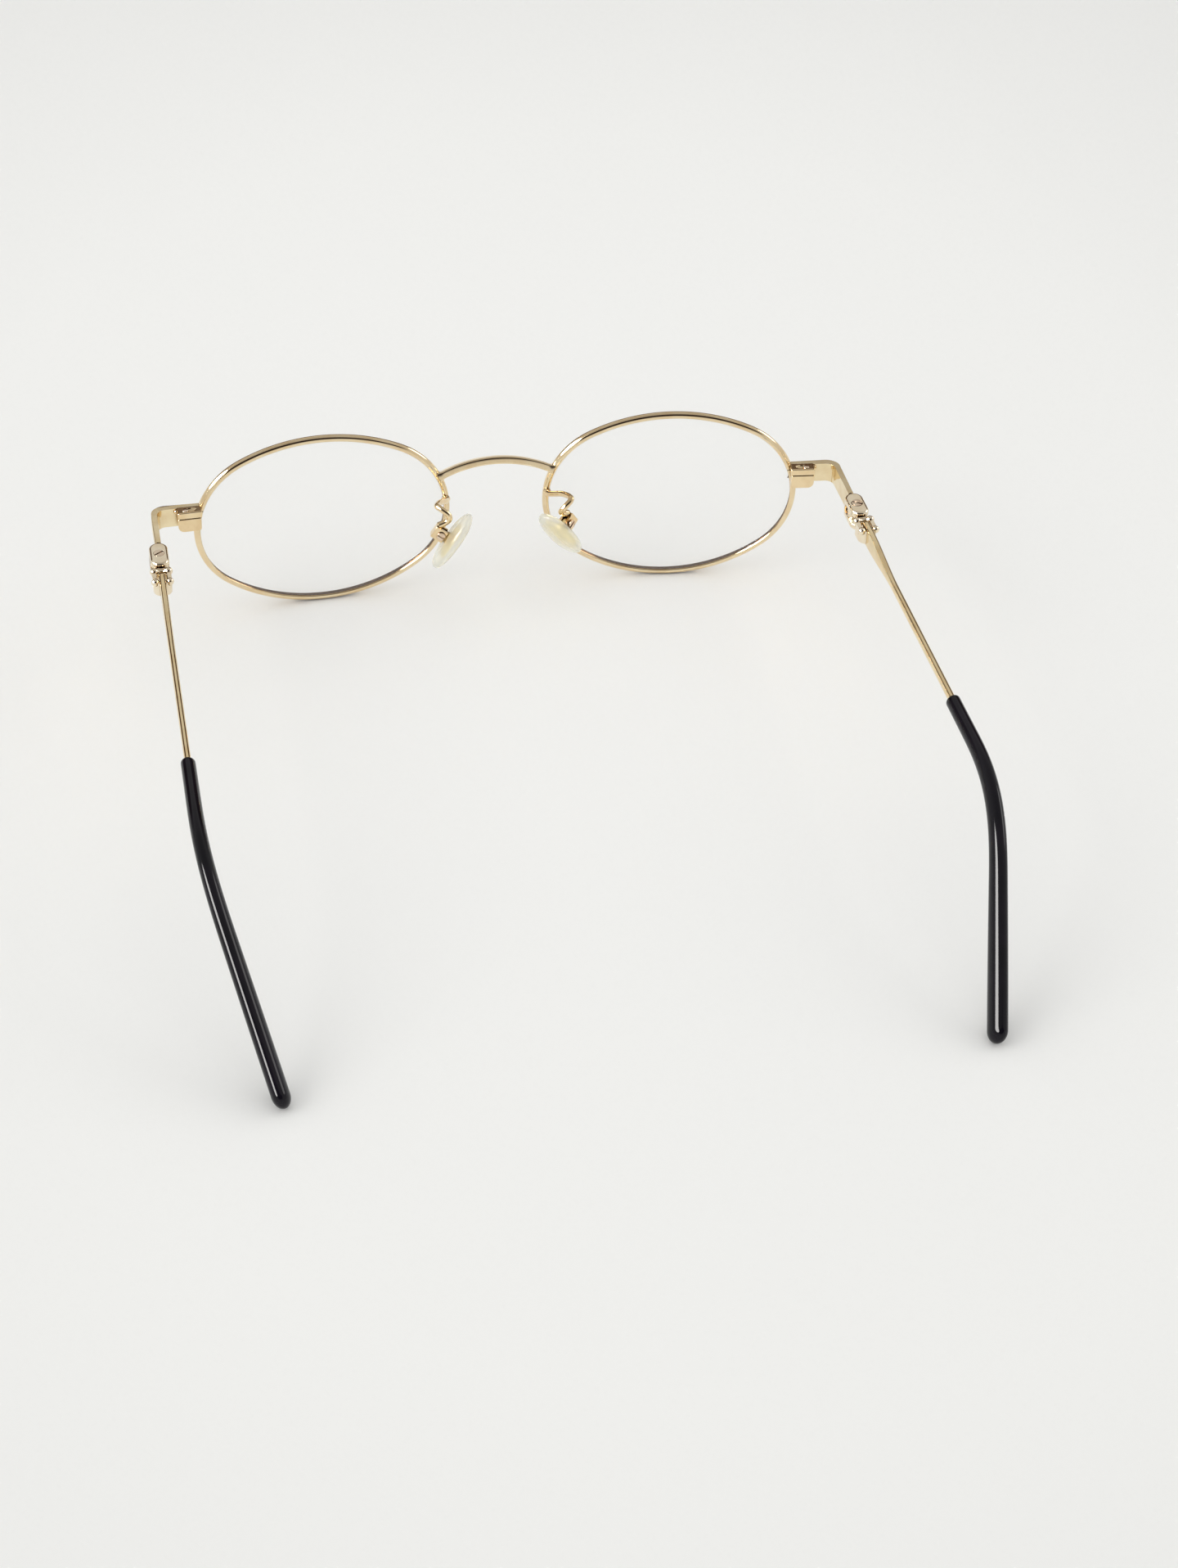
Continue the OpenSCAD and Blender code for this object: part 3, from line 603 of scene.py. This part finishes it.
# Lenses
def add_lens(side, name):
    """A shell on the base curve whose edge runs out in a bevel."""
    outline = oval(-lens_play - bevel_h, 0, 40)
    bevel = oval(-lens_play, 0, 40)
    middle = array([0, 0, 1])
    reach_shares = [0.02, 0.15, 0.3, 0.45, 0.6, 0.75, 0.9, 1]

    def shell(share, r):
        return stand(ball(r * unit(share * outline + (1 - share) * middle)), side)

    rings = [shell(share, base_r + lens_t / 2) for share in reach_shares]
    rings += [shell(1, base_r + bevel_h), stand(ball(base_r * bevel), side), shell(1, base_r - bevel_h)]
    rings += [shell(share, base_r - lens_t / 2) for share in reach_shares[::-1]]
    finish_piece("lens_glass_" + name, lofted(rings), lens_clear, "front", ["lens_" + name])


# Bridge
def add_bridge():
    """The arch, a little thicker than in the CAD, wider at its ends and with a drop of solder at each."""
    end_x = eye_x - (lens_w / 2 - end_r + np.sqrt(end_r ** 2 - bridge_z ** 2)) * np.cos(wrap)
    end_y = base_r * (1 - np.cos(np.hypot(edge_x, bridge_z) / base_r)) - edge_x * np.sin(wrap)
    arch_r = (end_x ** 2 + bridge_rise ** 2) / (2 * bridge_rise)
    arch_half = np.arcsin(end_x / arch_r)
    look_h, look_t, edge_r, section_turn = 1.2 * bridge_h, 1.12 * bridge_t, 0.34, radians(7)
    flare_more, flare_from = 0.3, 0.9
    set_back, end_in = 0.2, 0.25
    solder_r, solder_in, solder_back = 0.72, 0.55, 0.35

    def place(p):
        return stand(turn_x(p, np.pi / 2 + bridge_lean) + [0, end_y + set_back, bridge_z])

    rings = []
    for a in np.linspace(-1, 1, 97):
        angle = a * arch_half * (1 - end_in / end_x)
        flare = 1 + flare_more * ease((abs(a) - flare_from) / 0.1)
        flat = rounded_section(look_h * flare, look_t * (1 + (flare - 1) / 4), edge_r, 7)
        turned = turn_z(np.stack([flat[:, 0], flat[:, 1], 0 * flat[:, 0]], -1), section_turn)
        r = arch_r + turned[:, 0]
        z = bridge_rise - arch_r + r * np.cos(angle)
        rings.append(place(np.stack([r * np.sin(angle), z, turned[:, 1]], -1)))
    bm = lofted(rings)
    for x in (-1, 1):
        angle = x * arch_half * (1 - solder_in / end_x)
        at = array([arch_r * np.sin(angle), bridge_rise - arch_r + arch_r * np.cos(angle), solder_back])
        add_drop(bm, place(at), solder_r)
    finish_piece("bridge_arch", bm, rim_gold, "front", ["bridge"])


# Rim locks
lock_top = (lock_low + rim_cut + lock_up) / 2
lock_past_rim = 0.5
lock_in = -plate_len - rim_r - lock_past_rim
lock_out = -plate_len + lock_len
lock_back = plate_t / 2 + lock_d
lock_edge = 0.2
lock_turns = np.linspace(0, np.pi / 2, 6)


def lock_ring(side, box, radii, inset, y):
    """One ring of a block seen from behind: a rectangle with its own radius at each corner."""
    x0, x1, z0, z1 = box
    ring = []
    corners = ((x1, z1, 1, 1), (x0, z1, -1, 1), (x0, z0, -1, -1), (x1, z0, 1, -1))
    for q, (r, (x, z, sx, sz)) in enumerate(zip(radii, corners)):
        for a in np.linspace(0, np.pi / 2, 8) + q * np.pi / 2:
            ring.append([x - sx * r + (r - inset) * np.cos(a), y, z - sz * r + (r - inset) * np.sin(a)])
    return at_lock(ring, side)


def add_lower_lock(side, name):
    """The lower half, with its lower outer corner well rounded."""
    box = (lock_in, lock_out, -lock_top, -lock_top + lock_low)
    radii = (0.22, 0.22, 0.5, 1.15)
    further_front = 0.02
    rings = [lock_ring(side, box, radii, 0, plate_t / 2 - further_front)]
    for a in lock_turns:
        rings.append(lock_ring(side, box, radii, lock_edge * (1 - np.cos(a)),
                               lock_back - lock_edge + lock_edge * np.sin(a)))
    finish_piece("lock_lower_" + name, lofted(rings), lock_gold, "front",
                 ["rim_lock_lower_" + name], 50)


def rounded_marks(a, b, count):
    """Places from a to b that come closer together in the rounded edges."""
    return np.concatenate([a + lock_edge * (1 - np.cos(lock_turns[:-1])),
                           np.linspace(a + lock_edge, b - lock_edge, count),
                           b - lock_edge * (1 - np.cos(lock_turns[-2::-1]))])


def edge_fall(distance):
    """How far a rounded edge has fallen at that distance from it."""
    d = np.clip(lock_edge - distance, 0, lock_edge)
    return lock_edge - np.sqrt(lock_edge ** 2 - d ** 2)


def lock_height(x, y, xs, ys):
    """Height of the upper half's top, with its rounded edges, a small well and a slight fall."""
    well_x, well_w, well_d, well_deep, top_fall = 2.35, 1.2, 0.62, 0.34, 0.06
    well = 1 - ((x - lock_out + well_x) / well_w) ** 2 - ((y - lock_back + lock_d / 2) / well_d) ** 2
    edges = (x - xs[0], xs[-1] - x, y - ys[0], ys[-1] - y)
    z = lock_top
    for distance in edges:
        z = z - edge_fall(distance)
    return z - well_deep * np.clip(well, 0, 1) ** 0.7 - top_fall * (lock_back - y)


def add_upper_lock(side, name):
    """The upper half: a grid for its top, walls down to its flat underside, and a drop of solder."""
    further_in, further_front = 0.15, 0.3
    solder_r, solder_out, solder_back, solder_z = 0.46, 0.1, 0.14, 1.35
    xs = rounded_marks(lock_in - further_in, lock_out, 44)
    ys = rounded_marks(plate_t / 2 - further_front, lock_back, 24)
    x, y = np.meshgrid(xs, ys, indexing="ij")
    top = at_lock(np.stack([x, y, lock_height(x, y, xs, ys)], -1), side)
    base = at_lock(np.stack([x, y, 0 * x + cut_z + rim_cut / 2], -1), side)
    n, m = len(xs) - 1, len(ys) - 1
    bm = bmesh.new()
    grid = [[bm.verts.new(q) for q in row] for row in top]
    for i in range(n):
        for j in range(m):
            bm.faces.new((grid[i][j], grid[i + 1][j], grid[i + 1][j + 1], grid[i][j + 1]))
    walk = [(i, 0) for i in range(n)] + [(n, j) for j in range(m)]
    walk += [(i, m) for i in range(n, 0, -1)] + [(0, j) for j in range(m, 0, -1)]
    upper = [grid[i][j] for i, j in walk]
    lower = [bm.verts.new(base[i, j]) for i, j in walk]
    for k in range(len(walk)):
        after = (k + 1) % len(walk)
        bm.faces.new((upper[k], upper[after], lower[after], lower[k]))
    bm.faces.new(lower[::-1])
    add_drop(bm, at_lock([lock_out + solder_out, plate_t / 2 + solder_back, solder_z], side), solder_r)
    finish_piece("lock_upper_" + name, bm, lock_gold, "front", ["rim_lock_upper_" + name], 50)


# End pieces and hinges
def edge_points(edge):
    return [list(v.co) for v in edge.verts]


def add_end_strip(side, name):
    """The leg is thinner than the plate, and the plate's top falls a little to the front."""
    leg_from, leg_thinner, leg_thin_at, leg_taper, top_fall = 0.25, 0.3, 3.2, 0.06, 0.15
    near = 0.15

    def long_edge(edge):
        z = to_corner(edge_points(edge), side)[:, 2]
        return np.ptp(z) < near and abs(abs(z.mean()) - plate_h / 2) < near

    def move(points):
        plate = turn_z(to_corner(points, side), -wrap)
        on_top = (plate[:, 0] < -corner_r) & (plate[:, 2] > 1)
        plate[:, 2] -= np.where(on_top, top_fall * (plate_t / 2 - plate[:, 1]), 0)
        leg = turn_z(turn_z(plate, wrap), splay[side])
        thinner = leg_thinner * ease(leg[:, 1] / leg_thin_at) + leg_taper * np.clip(leg[:, 1] / leg_len, 0, 1)
        leg[:, 0] -= np.where(leg[:, 0] > leg_from, thinner, 0)
        return at_corner(turn_z(leg, -splay[side]), side)

    refined("end_strip_" + name, "end_piece_" + name, plate_gold, 0.2, 4,
            round_at=long_edge, round_r=0.36, move=move)


def add_hinge_block(side, name):
    """The edges round its top and its underside are rounded further than the others, away from the screw."""
    near, screw_place_r = 0.05, 1.5

    def rim_edge(edge):
        q = to_hinge(edge_points(edge), side)
        level = np.ptp(q[:, 2]) < near and abs(abs(q[:, 2].mean()) - hinge_h / 2) < near
        return level and np.hypot(q[:, 0], q[:, 1]).min() > screw_place_r

    refined("hinge_block_" + name, "hinge_body_" + name, hinge_gold, 0.2, 4,
            round_at=rim_edge, round_r=0.55)


def add_corner(side, name):
    """All that sits between a rim and its temple."""
    add_lower_lock(side, name)
    add_upper_lock(side, name)
    refined("lock_screw_" + name, "rim_screw_" + name, screw_gold, 0.05, 2)
    add_end_strip(side, name)
    add_hinge_block(side, name)
    refined("pin_screw_" + name, "hinge_screw_" + name, screw_gold, 0.05, 2)
    refined("rear_link_" + name, "hinge_link_" + name, hinge_gold, 0.14)
    refined("cross_pin_" + name, "link_pin_" + name, hinge_gold)
    refined("beads_" + name, "link_beads_" + name, hinge_gold)


# Temples
link_end = hinge_len / 2 + bead_d * link_gap_share + link_len
blade_y = hinge_len / 2 + bead_d * link_gap_share + link_len * blade_root_share
core_end = temple_len - core_stop_share * tip_h


def across_temple(along, half_w, half_h, ring, side):
    """One ring across the temple's line, an ellipse with these half sizes."""
    return at_hinge(spot(along) - half_w * np.sin(ring)[:, None] * side_dir
                    + half_h * np.cos(ring)[:, None] * up_dir(along), side)


def add_temple(side, name):
    """The tapering blade, drawn in at its root, and the thin wire that runs on inside the sleeve."""
    root = ((0, 0.12), (0.06, 0.04), (0.2, 0))
    edge_r, edge_r_more = 0.42, 0.16
    core_w_share, core_h_share = 0.44, 0.42
    stations = [(blade_y + step, tuck) for step, tuck in root]
    for run in (np.linspace(blade_y + 0.5, link_end, 5), np.linspace(link_end + 0.4, blade_len, 40),
                np.linspace(blade_len + 1, sleeve_at + 2, 30)):
        stations += [(y, 0) for y in run]
    rings = []
    for y, tuck in stations:
        taper = ease((y - link_end) / (blade_len - link_end))
        h = wire_h + (blade_h - wire_h) * (1 - taper)
        flat = rounded_section(blade_t - 2 * tuck, h - 2 * tuck, edge_r + edge_r_more * taper - tuck, 6)
        rings.append(at_hinge(np.stack([flat[:, 0], y + 0 * flat[:, 0], flat[:, 1]], -1), side))
    bm = lofted(rings)
    ring = full_circle(16)
    core_marks = np.concatenate([[sleeve_at + 1], np.linspace(bend_at, bend_at + bend_len, 24), [core_end]])
    core_w, core_h = blade_t * core_w_share, wire_h * core_h_share
    add_loft(bm, [across_temple(y, core_w, core_h, ring, side) for y in core_marks])
    finish_piece("temple_blade_" + name, bm, temple_gold, "temple_" + name,
                 ["temple_" + name])


# Sleeves
def add_sleeve(side, name):
    """It starts with a short bore and a rounded mouth, widens to the end and closes there in a round tip."""
    tip_round = tip_h / 2
    mouth_h = sleeve_w * mouth_share
    bore_play = 0.03
    last_ring_share = 0.0006
    ring = full_circle(48)

    def bore(step, wider=0.0):
        half_w, half_h = blade_t / 2 + bore_play + wider, wire_h / 2 + bore_play + wider
        return across_temple(sleeve_at + step, half_w, half_h, ring, side)

    def outside(y, inset=0.0):
        t = max((y - temple_len + tip_round) / tip_round, 0)
        close = np.sqrt(max(1 - t * t, last_ring_share))
        grow = ease((y - sleeve_at) / (temple_len - tip_round - sleeve_at))
        w = sleeve_w + (tip_w - sleeve_w) * grow
        h = mouth_h + (tip_h - mouth_h) * grow
        return across_temple(y, close * w / 2 - inset, close * h / 2 - inset, ring, side)

    rings = [bore(1.2), bore(0.25), bore(0.08, 0.06), bore(0.02, 0.16)]
    rings += [outside(sleeve_at + step, inset) for step, inset in ((0.02, 0.24), (0.1, 0.1), (0.26, 0.02))]
    rings += [outside(y) for y in np.linspace(sleeve_at + 0.5, temple_len - tip_round, 90)]
    rings += [outside(temple_len - tip_round * (1 - np.sin(a * np.pi / 2))) for a in np.linspace(0.06, 1, 18)]
    finish_piece("sleeve_" + name, lofted(rings), sleeve_black, "temple_" + name,
                 ["temple_tip_" + name], 60)


# Pad arms, as shares of how far an arm reaches out, back and up. The two are bent differently.
tab_x = pad_t / 2 + tab_t + 2 * box_play
box_wall = tab_t * wall_share
box_end = tab_x + tab_t + box_play + box_wall * back_share
back_mid = box_end - box_wall * back_share / 2
foot = array([nose_gap / 2, edge_y * np.cos(wrap) - edge_x * np.sin(wrap) + rim_r + seat_play, arm_z])
out_shares = {1: (0.05, 0.5, 0.8, 0.55, 0.15), -1: (0.15, 0.75, 1.1, 1.1, 0.7)}
back_shares = (0.2, 0.55, 0.9, 1.06, 1.15)
up_shares = (0.15, 0.6, 0.85, 0.8, 0.45)


def add_pad_arm(side, name):
    """A wire, a little thicker than in the CAD, that widens at its foot and at the box."""
    thicker = 1.28
    look_r = arm_d * thicker / 2
    foot_len, foot_wider, box_len, box_wider = 0.9, 0.5, 2, 0.2
    shares = zip(out_shares[side], back_shares, up_shares)
    route = [foot] + [foot + array(p) * [arm_out, arm_back, arm_up] for p in shares]
    route += [from_pad([back_mid - tab_t, 0, box_h / 2 + 2 * tab_t], side),
              from_pad([back_mid, 0, box_h / 2 + seat_play], side)]
    line = curve(route, 14)
    across, up = frames(line)
    ring = full_circle(20)
    run = np.concatenate([[0], np.cumsum(np.linalg.norm(np.diff(line, axis=0), axis=1))])
    rings = []
    for k in range(len(line)):
        foot_part = foot_wider * (1 - ease(run[k] / foot_len))
        box_part = box_wider * (1 - ease((run[-1] - run[k]) / box_len))
        r = look_r * (1 + foot_part + box_part)
        rings.append(stand(line[k] + r * (np.cos(ring)[:, None] * across[k] + np.sin(ring)[:, None] * up[k]),
                           side))
    finish_piece("arm_wire_" + name, lofted(rings), lock_gold, "front", ["pad_arm_" + name])


# Nose pads
def add_pad_core(side, name):
    """The plate inside the pad is wider than in the CAD, as it is seen through the plastic."""
    inside_share, wider = 0.8, 1.25

    def move(points):
        q = to_pad(points, side)
        wide = np.where(np.abs(q[:, 0]) < pad_t / 2 * inside_share, wider, 1)
        return stand(from_pad(q * np.stack([np.ones_like(wide), wide, wide], -1), side), side)

    refined("core_" + name, "pad_core_" + name, core_gold, 0.08, move=move)


def add_pad_body(side, name):
    """A cushion, fuller than an ellipsoid and a little thicker than in the CAD on the side of the nose."""
    fullness, squareness, half_len_share, end_share, thicker = 2.4, 0.88, 0.485, 0.03, 0.25
    ring = full_circle(64)
    ring_y = np.sign(np.sin(ring)) * np.abs(np.sin(ring)) ** squareness
    ring_z = np.sign(np.cos(ring)) * np.abs(np.cos(ring)) ** squareness
    rings = []
    for a in np.linspace(-1, 1, 33):
        t = np.sin(a * np.pi / 2)
        f = max((1 - abs(t) ** fullness) ** (1 / fullness), end_share)
        x = pad_t / 2 * t + thicker * (t - 1) + 0 * ring
        y = pad_w / 2 * f * ring_y
        z = half_len_share * pad_len * f * ring_z
        rings.append(stand(from_pad(np.stack([x, y, z], -1), side), side))
    finish_piece("pad_body_" + name, lofted(rings), pad_clear, "pad_" + name,
                 ["nose_pad_" + name], 60)


def add_nose_side(side, name):
    add_pad_arm(side, name)
    refined("box_" + name, "pad_box_" + name, lock_gold, 0.08)
    refined("box_screw_" + name, "pad_screw_" + name, screw_gold, 0.05, 2)
    add_pad_core(side, name)
    add_pad_body(side, name)


# The glasses
for add_part in (add_eyewire, add_lens):
    for side, name in SIDES:
        add_part(side, name)
add_bridge()
for side, name in SIDES:
    add_corner(side, name)
for side, name in SIDES:
    add_temple(side, name)
    add_sleeve(side, name)
for side, name in SIDES:
    add_nose_side(side, name)


# Floor
bm = bmesh.new()
bmesh.ops.create_grid(bm, x_segments=4, y_segments=4, size=3)
mesh = bpy.data.meshes.new("floor")
bm.to_mesh(mesh)
bm.free()
mesh.materials.append(floor_material())
floor = bpy.data.objects.new("floor", mesh)
bpy.context.scene.collection.objects.link(floor)


# World
def reckon(tree, operation, first, second):
    node = tree.nodes.new("ShaderNodeMath")
    node.operation = operation
    feed(tree, first, node.inputs[0])
    feed(tree, second, node.inputs[1])
    return node.outputs[0]


def dot_with(tree, gaze, direction, squeeze=1):
    """Cosine to a direction, after the sky is squeezed in width, for a dark oval that is wider than high."""
    squeezed = tree.nodes.new("ShaderNodeVectorMath")
    squeezed.operation = "MULTIPLY"
    squeezed.inputs[1].default_value = (squeeze, 1, 1)
    tree.links.new(gaze, squeezed.inputs[0])
    even = tree.nodes.new("ShaderNodeVectorMath")
    even.operation = "NORMALIZE"
    tree.links.new(squeezed.outputs[0], even.inputs[0])
    cosine = tree.nodes.new("ShaderNodeVectorMath")
    cosine.operation = "DOT_PRODUCT"
    cosine.inputs[1].default_value = Vector(direction).normalized()
    tree.links.new(even.outputs[0], cosine.inputs[0])
    return cosine.outputs["Value"]


def softbox(tree, gaze, direction, wide, high):
    """An oval lamp that polished metal sees in that direction, with its half sizes as tangents."""
    ahead = Vector(direction).normalized()
    across = Vector((0, 0, 1)).cross(ahead).normalized()
    parts = [dot_with(tree, gaze, v) for v in (across, ahead.cross(across), ahead)]
    squares = [reckon(tree, "POWER", reckon(tree, "DIVIDE", part, size), 2.0)
               for part, size in zip(parts, (wide, high))]
    inside = ramp(tree, reckon(tree, "ADD", *squares), [(0.75, grey(1)), (1.0, grey(0))])
    return reckon(tree, "MULTIPLY", inside, reckon(tree, "GREATER_THAN", parts[2], 0.0))


def metal_sky(tree, gaze):
    """What polished metal sees: a pale room, a darker wall in front, the dark camera and two softboxes."""
    split = tree.nodes.new("ShaderNodeSeparateXYZ")
    tree.links.new(gaze, split.inputs[0])
    room = [(0.0, (0.74, 0.73, 0.71)), (0.45, (0.70, 0.69, 0.67)), (0.62, (0.66, 0.64, 0.61)),
            (1.0, (0.44, 0.42, 0.40))]
    low = ramp(tree, split.outputs["Z"], [(0.44, grey(1)), (0.52, grey(0))])
    ahead = ramp(tree, reckon(tree, "MULTIPLY", split.outputs["Y"], -1.0), [(0.55, grey(0)), (0.72, grey(1))])
    wall = reckon(tree, "MULTIPLY", low, ahead)
    camera_place = ramp(tree, dot_with(tree, gaze, (0, 0.75, 0.66), 0.55),
                        [(0.895, grey(0)), (0.93, grey(1))])
    near = softbox(tree, gaze, (0.8, 0.19, 0.56), 0.46, 0.25)
    far = softbox(tree, gaze, (-1.06, -0.26, 0.56), 0.26, 0.2)
    sky = ramp(tree, split.outputs["Z"], room)
    for mask, colour in ((wall, (0.085, 0.045, 0.027)), (camera_place, (0.03, 0.022, 0.022)),
                         (near, (28, 27.5, 27)), (far, (4.2, 4.1, 4))):
        sky = blend(tree, "MIX", mask, sky, colour)
    return sky


def background(tree, colour):
    node = tree.nodes.new("ShaderNodeBackground")
    feed(tree, colour, node.inputs["Color"])
    return node.outputs[0]


def mix_shaders(tree, share, first, second):
    node = tree.nodes.new("ShaderNodeMixShader")
    for value, socket in zip((share, first, second), node.inputs):
        tree.links.new(value, socket)
    return node.outputs[0]


def make_world():
    """Reflections see metal_sky, rough surfaces an even light, and the camera a plain pale background."""
    world = bpy.data.worlds.new("studio")
    bpy.context.scene.world = world
    world.use_nodes = True
    tree = world.node_tree
    tree.nodes.clear()
    gaze = tree.nodes.new("ShaderNodeTexCoord").outputs["Generated"]
    rays = tree.nodes.new("ShaderNodeLightPath").outputs
    room = background(tree, metal_sky(tree, gaze))
    soft = background(tree, (0.79, 0.79, 0.785))
    plain = background(tree, (0.87, 0.87, 0.85))
    seen = reckon(tree, "MAXIMUM", rays["Is Camera Ray"], rays["Is Transmission Ray"])
    lit = mix_shaders(tree, rays["Is Glossy Ray"], soft, room)
    out = tree.nodes.new("ShaderNodeOutputWorld")
    tree.links.new(mix_shaders(tree, seen, lit, plain), out.inputs["Surface"])


make_world()


# Lamps, which light the rough surfaces and make the soft shadows, and which reflections don't see
def add_lamp(name, at, size, power, colour):
    light = bpy.data.lights.new(name, "AREA")
    light.shape = "ELLIPSE"
    light.size, light.size_y = size
    light.energy = power
    light.color = colour
    o = bpy.data.objects.new(name, light)
    o.location = at
    o.rotation_euler = (Vector((0, 0.05, 0)) - Vector(at)).to_track_quat("-Z", "Y").to_euler()
    o.visible_glossy = False
    bpy.context.scene.collection.objects.link(o)


add_lamp("key", (1.05, 0.32, 0.74), (1.2, 0.6), 3.2, (1, 0.99, 0.97))
add_lamp("fill", (-1.06, -0.1, 0.7), (1, 0.6), 1.7, (1, 0.99, 0.98))


# Camera, where the photo was taken from
photo_w_px = 1440
focal_px = 4300.723
camera_at = (0.080617, 0.535459, 0.426657)
yaw, pitch, roll = radians(-10.65), radians(-41.426), radians(2.386)
ahead = array([np.sin(yaw) * np.cos(pitch), -np.cos(yaw) * np.cos(pitch), np.sin(pitch)])
right = unit(np.cross(ahead, [0, 0, 1]))
up = np.cross(right, ahead)
rolled_right = right * np.cos(roll) + up * np.sin(roll)
rolled_up = -right * np.sin(roll) + up * np.cos(roll)

cam = bpy.data.cameras.new("camera")
cam.sensor_fit = "HORIZONTAL"
cam.sensor_width = 36
cam.lens = focal_px * cam.sensor_width / photo_w_px
cam.clip_start = 0.01
cam.clip_end = 20
camera = bpy.data.objects.new("camera", cam)
view = Matrix(np.column_stack([rolled_right, rolled_up, -ahead]).tolist()).to_4x4()
view.translation = camera_at
camera.matrix_world = view
bpy.context.scene.collection.objects.link(camera)
bpy.context.scene.camera = camera
bpy.context.scene.view_settings.view_transform = "Standard"
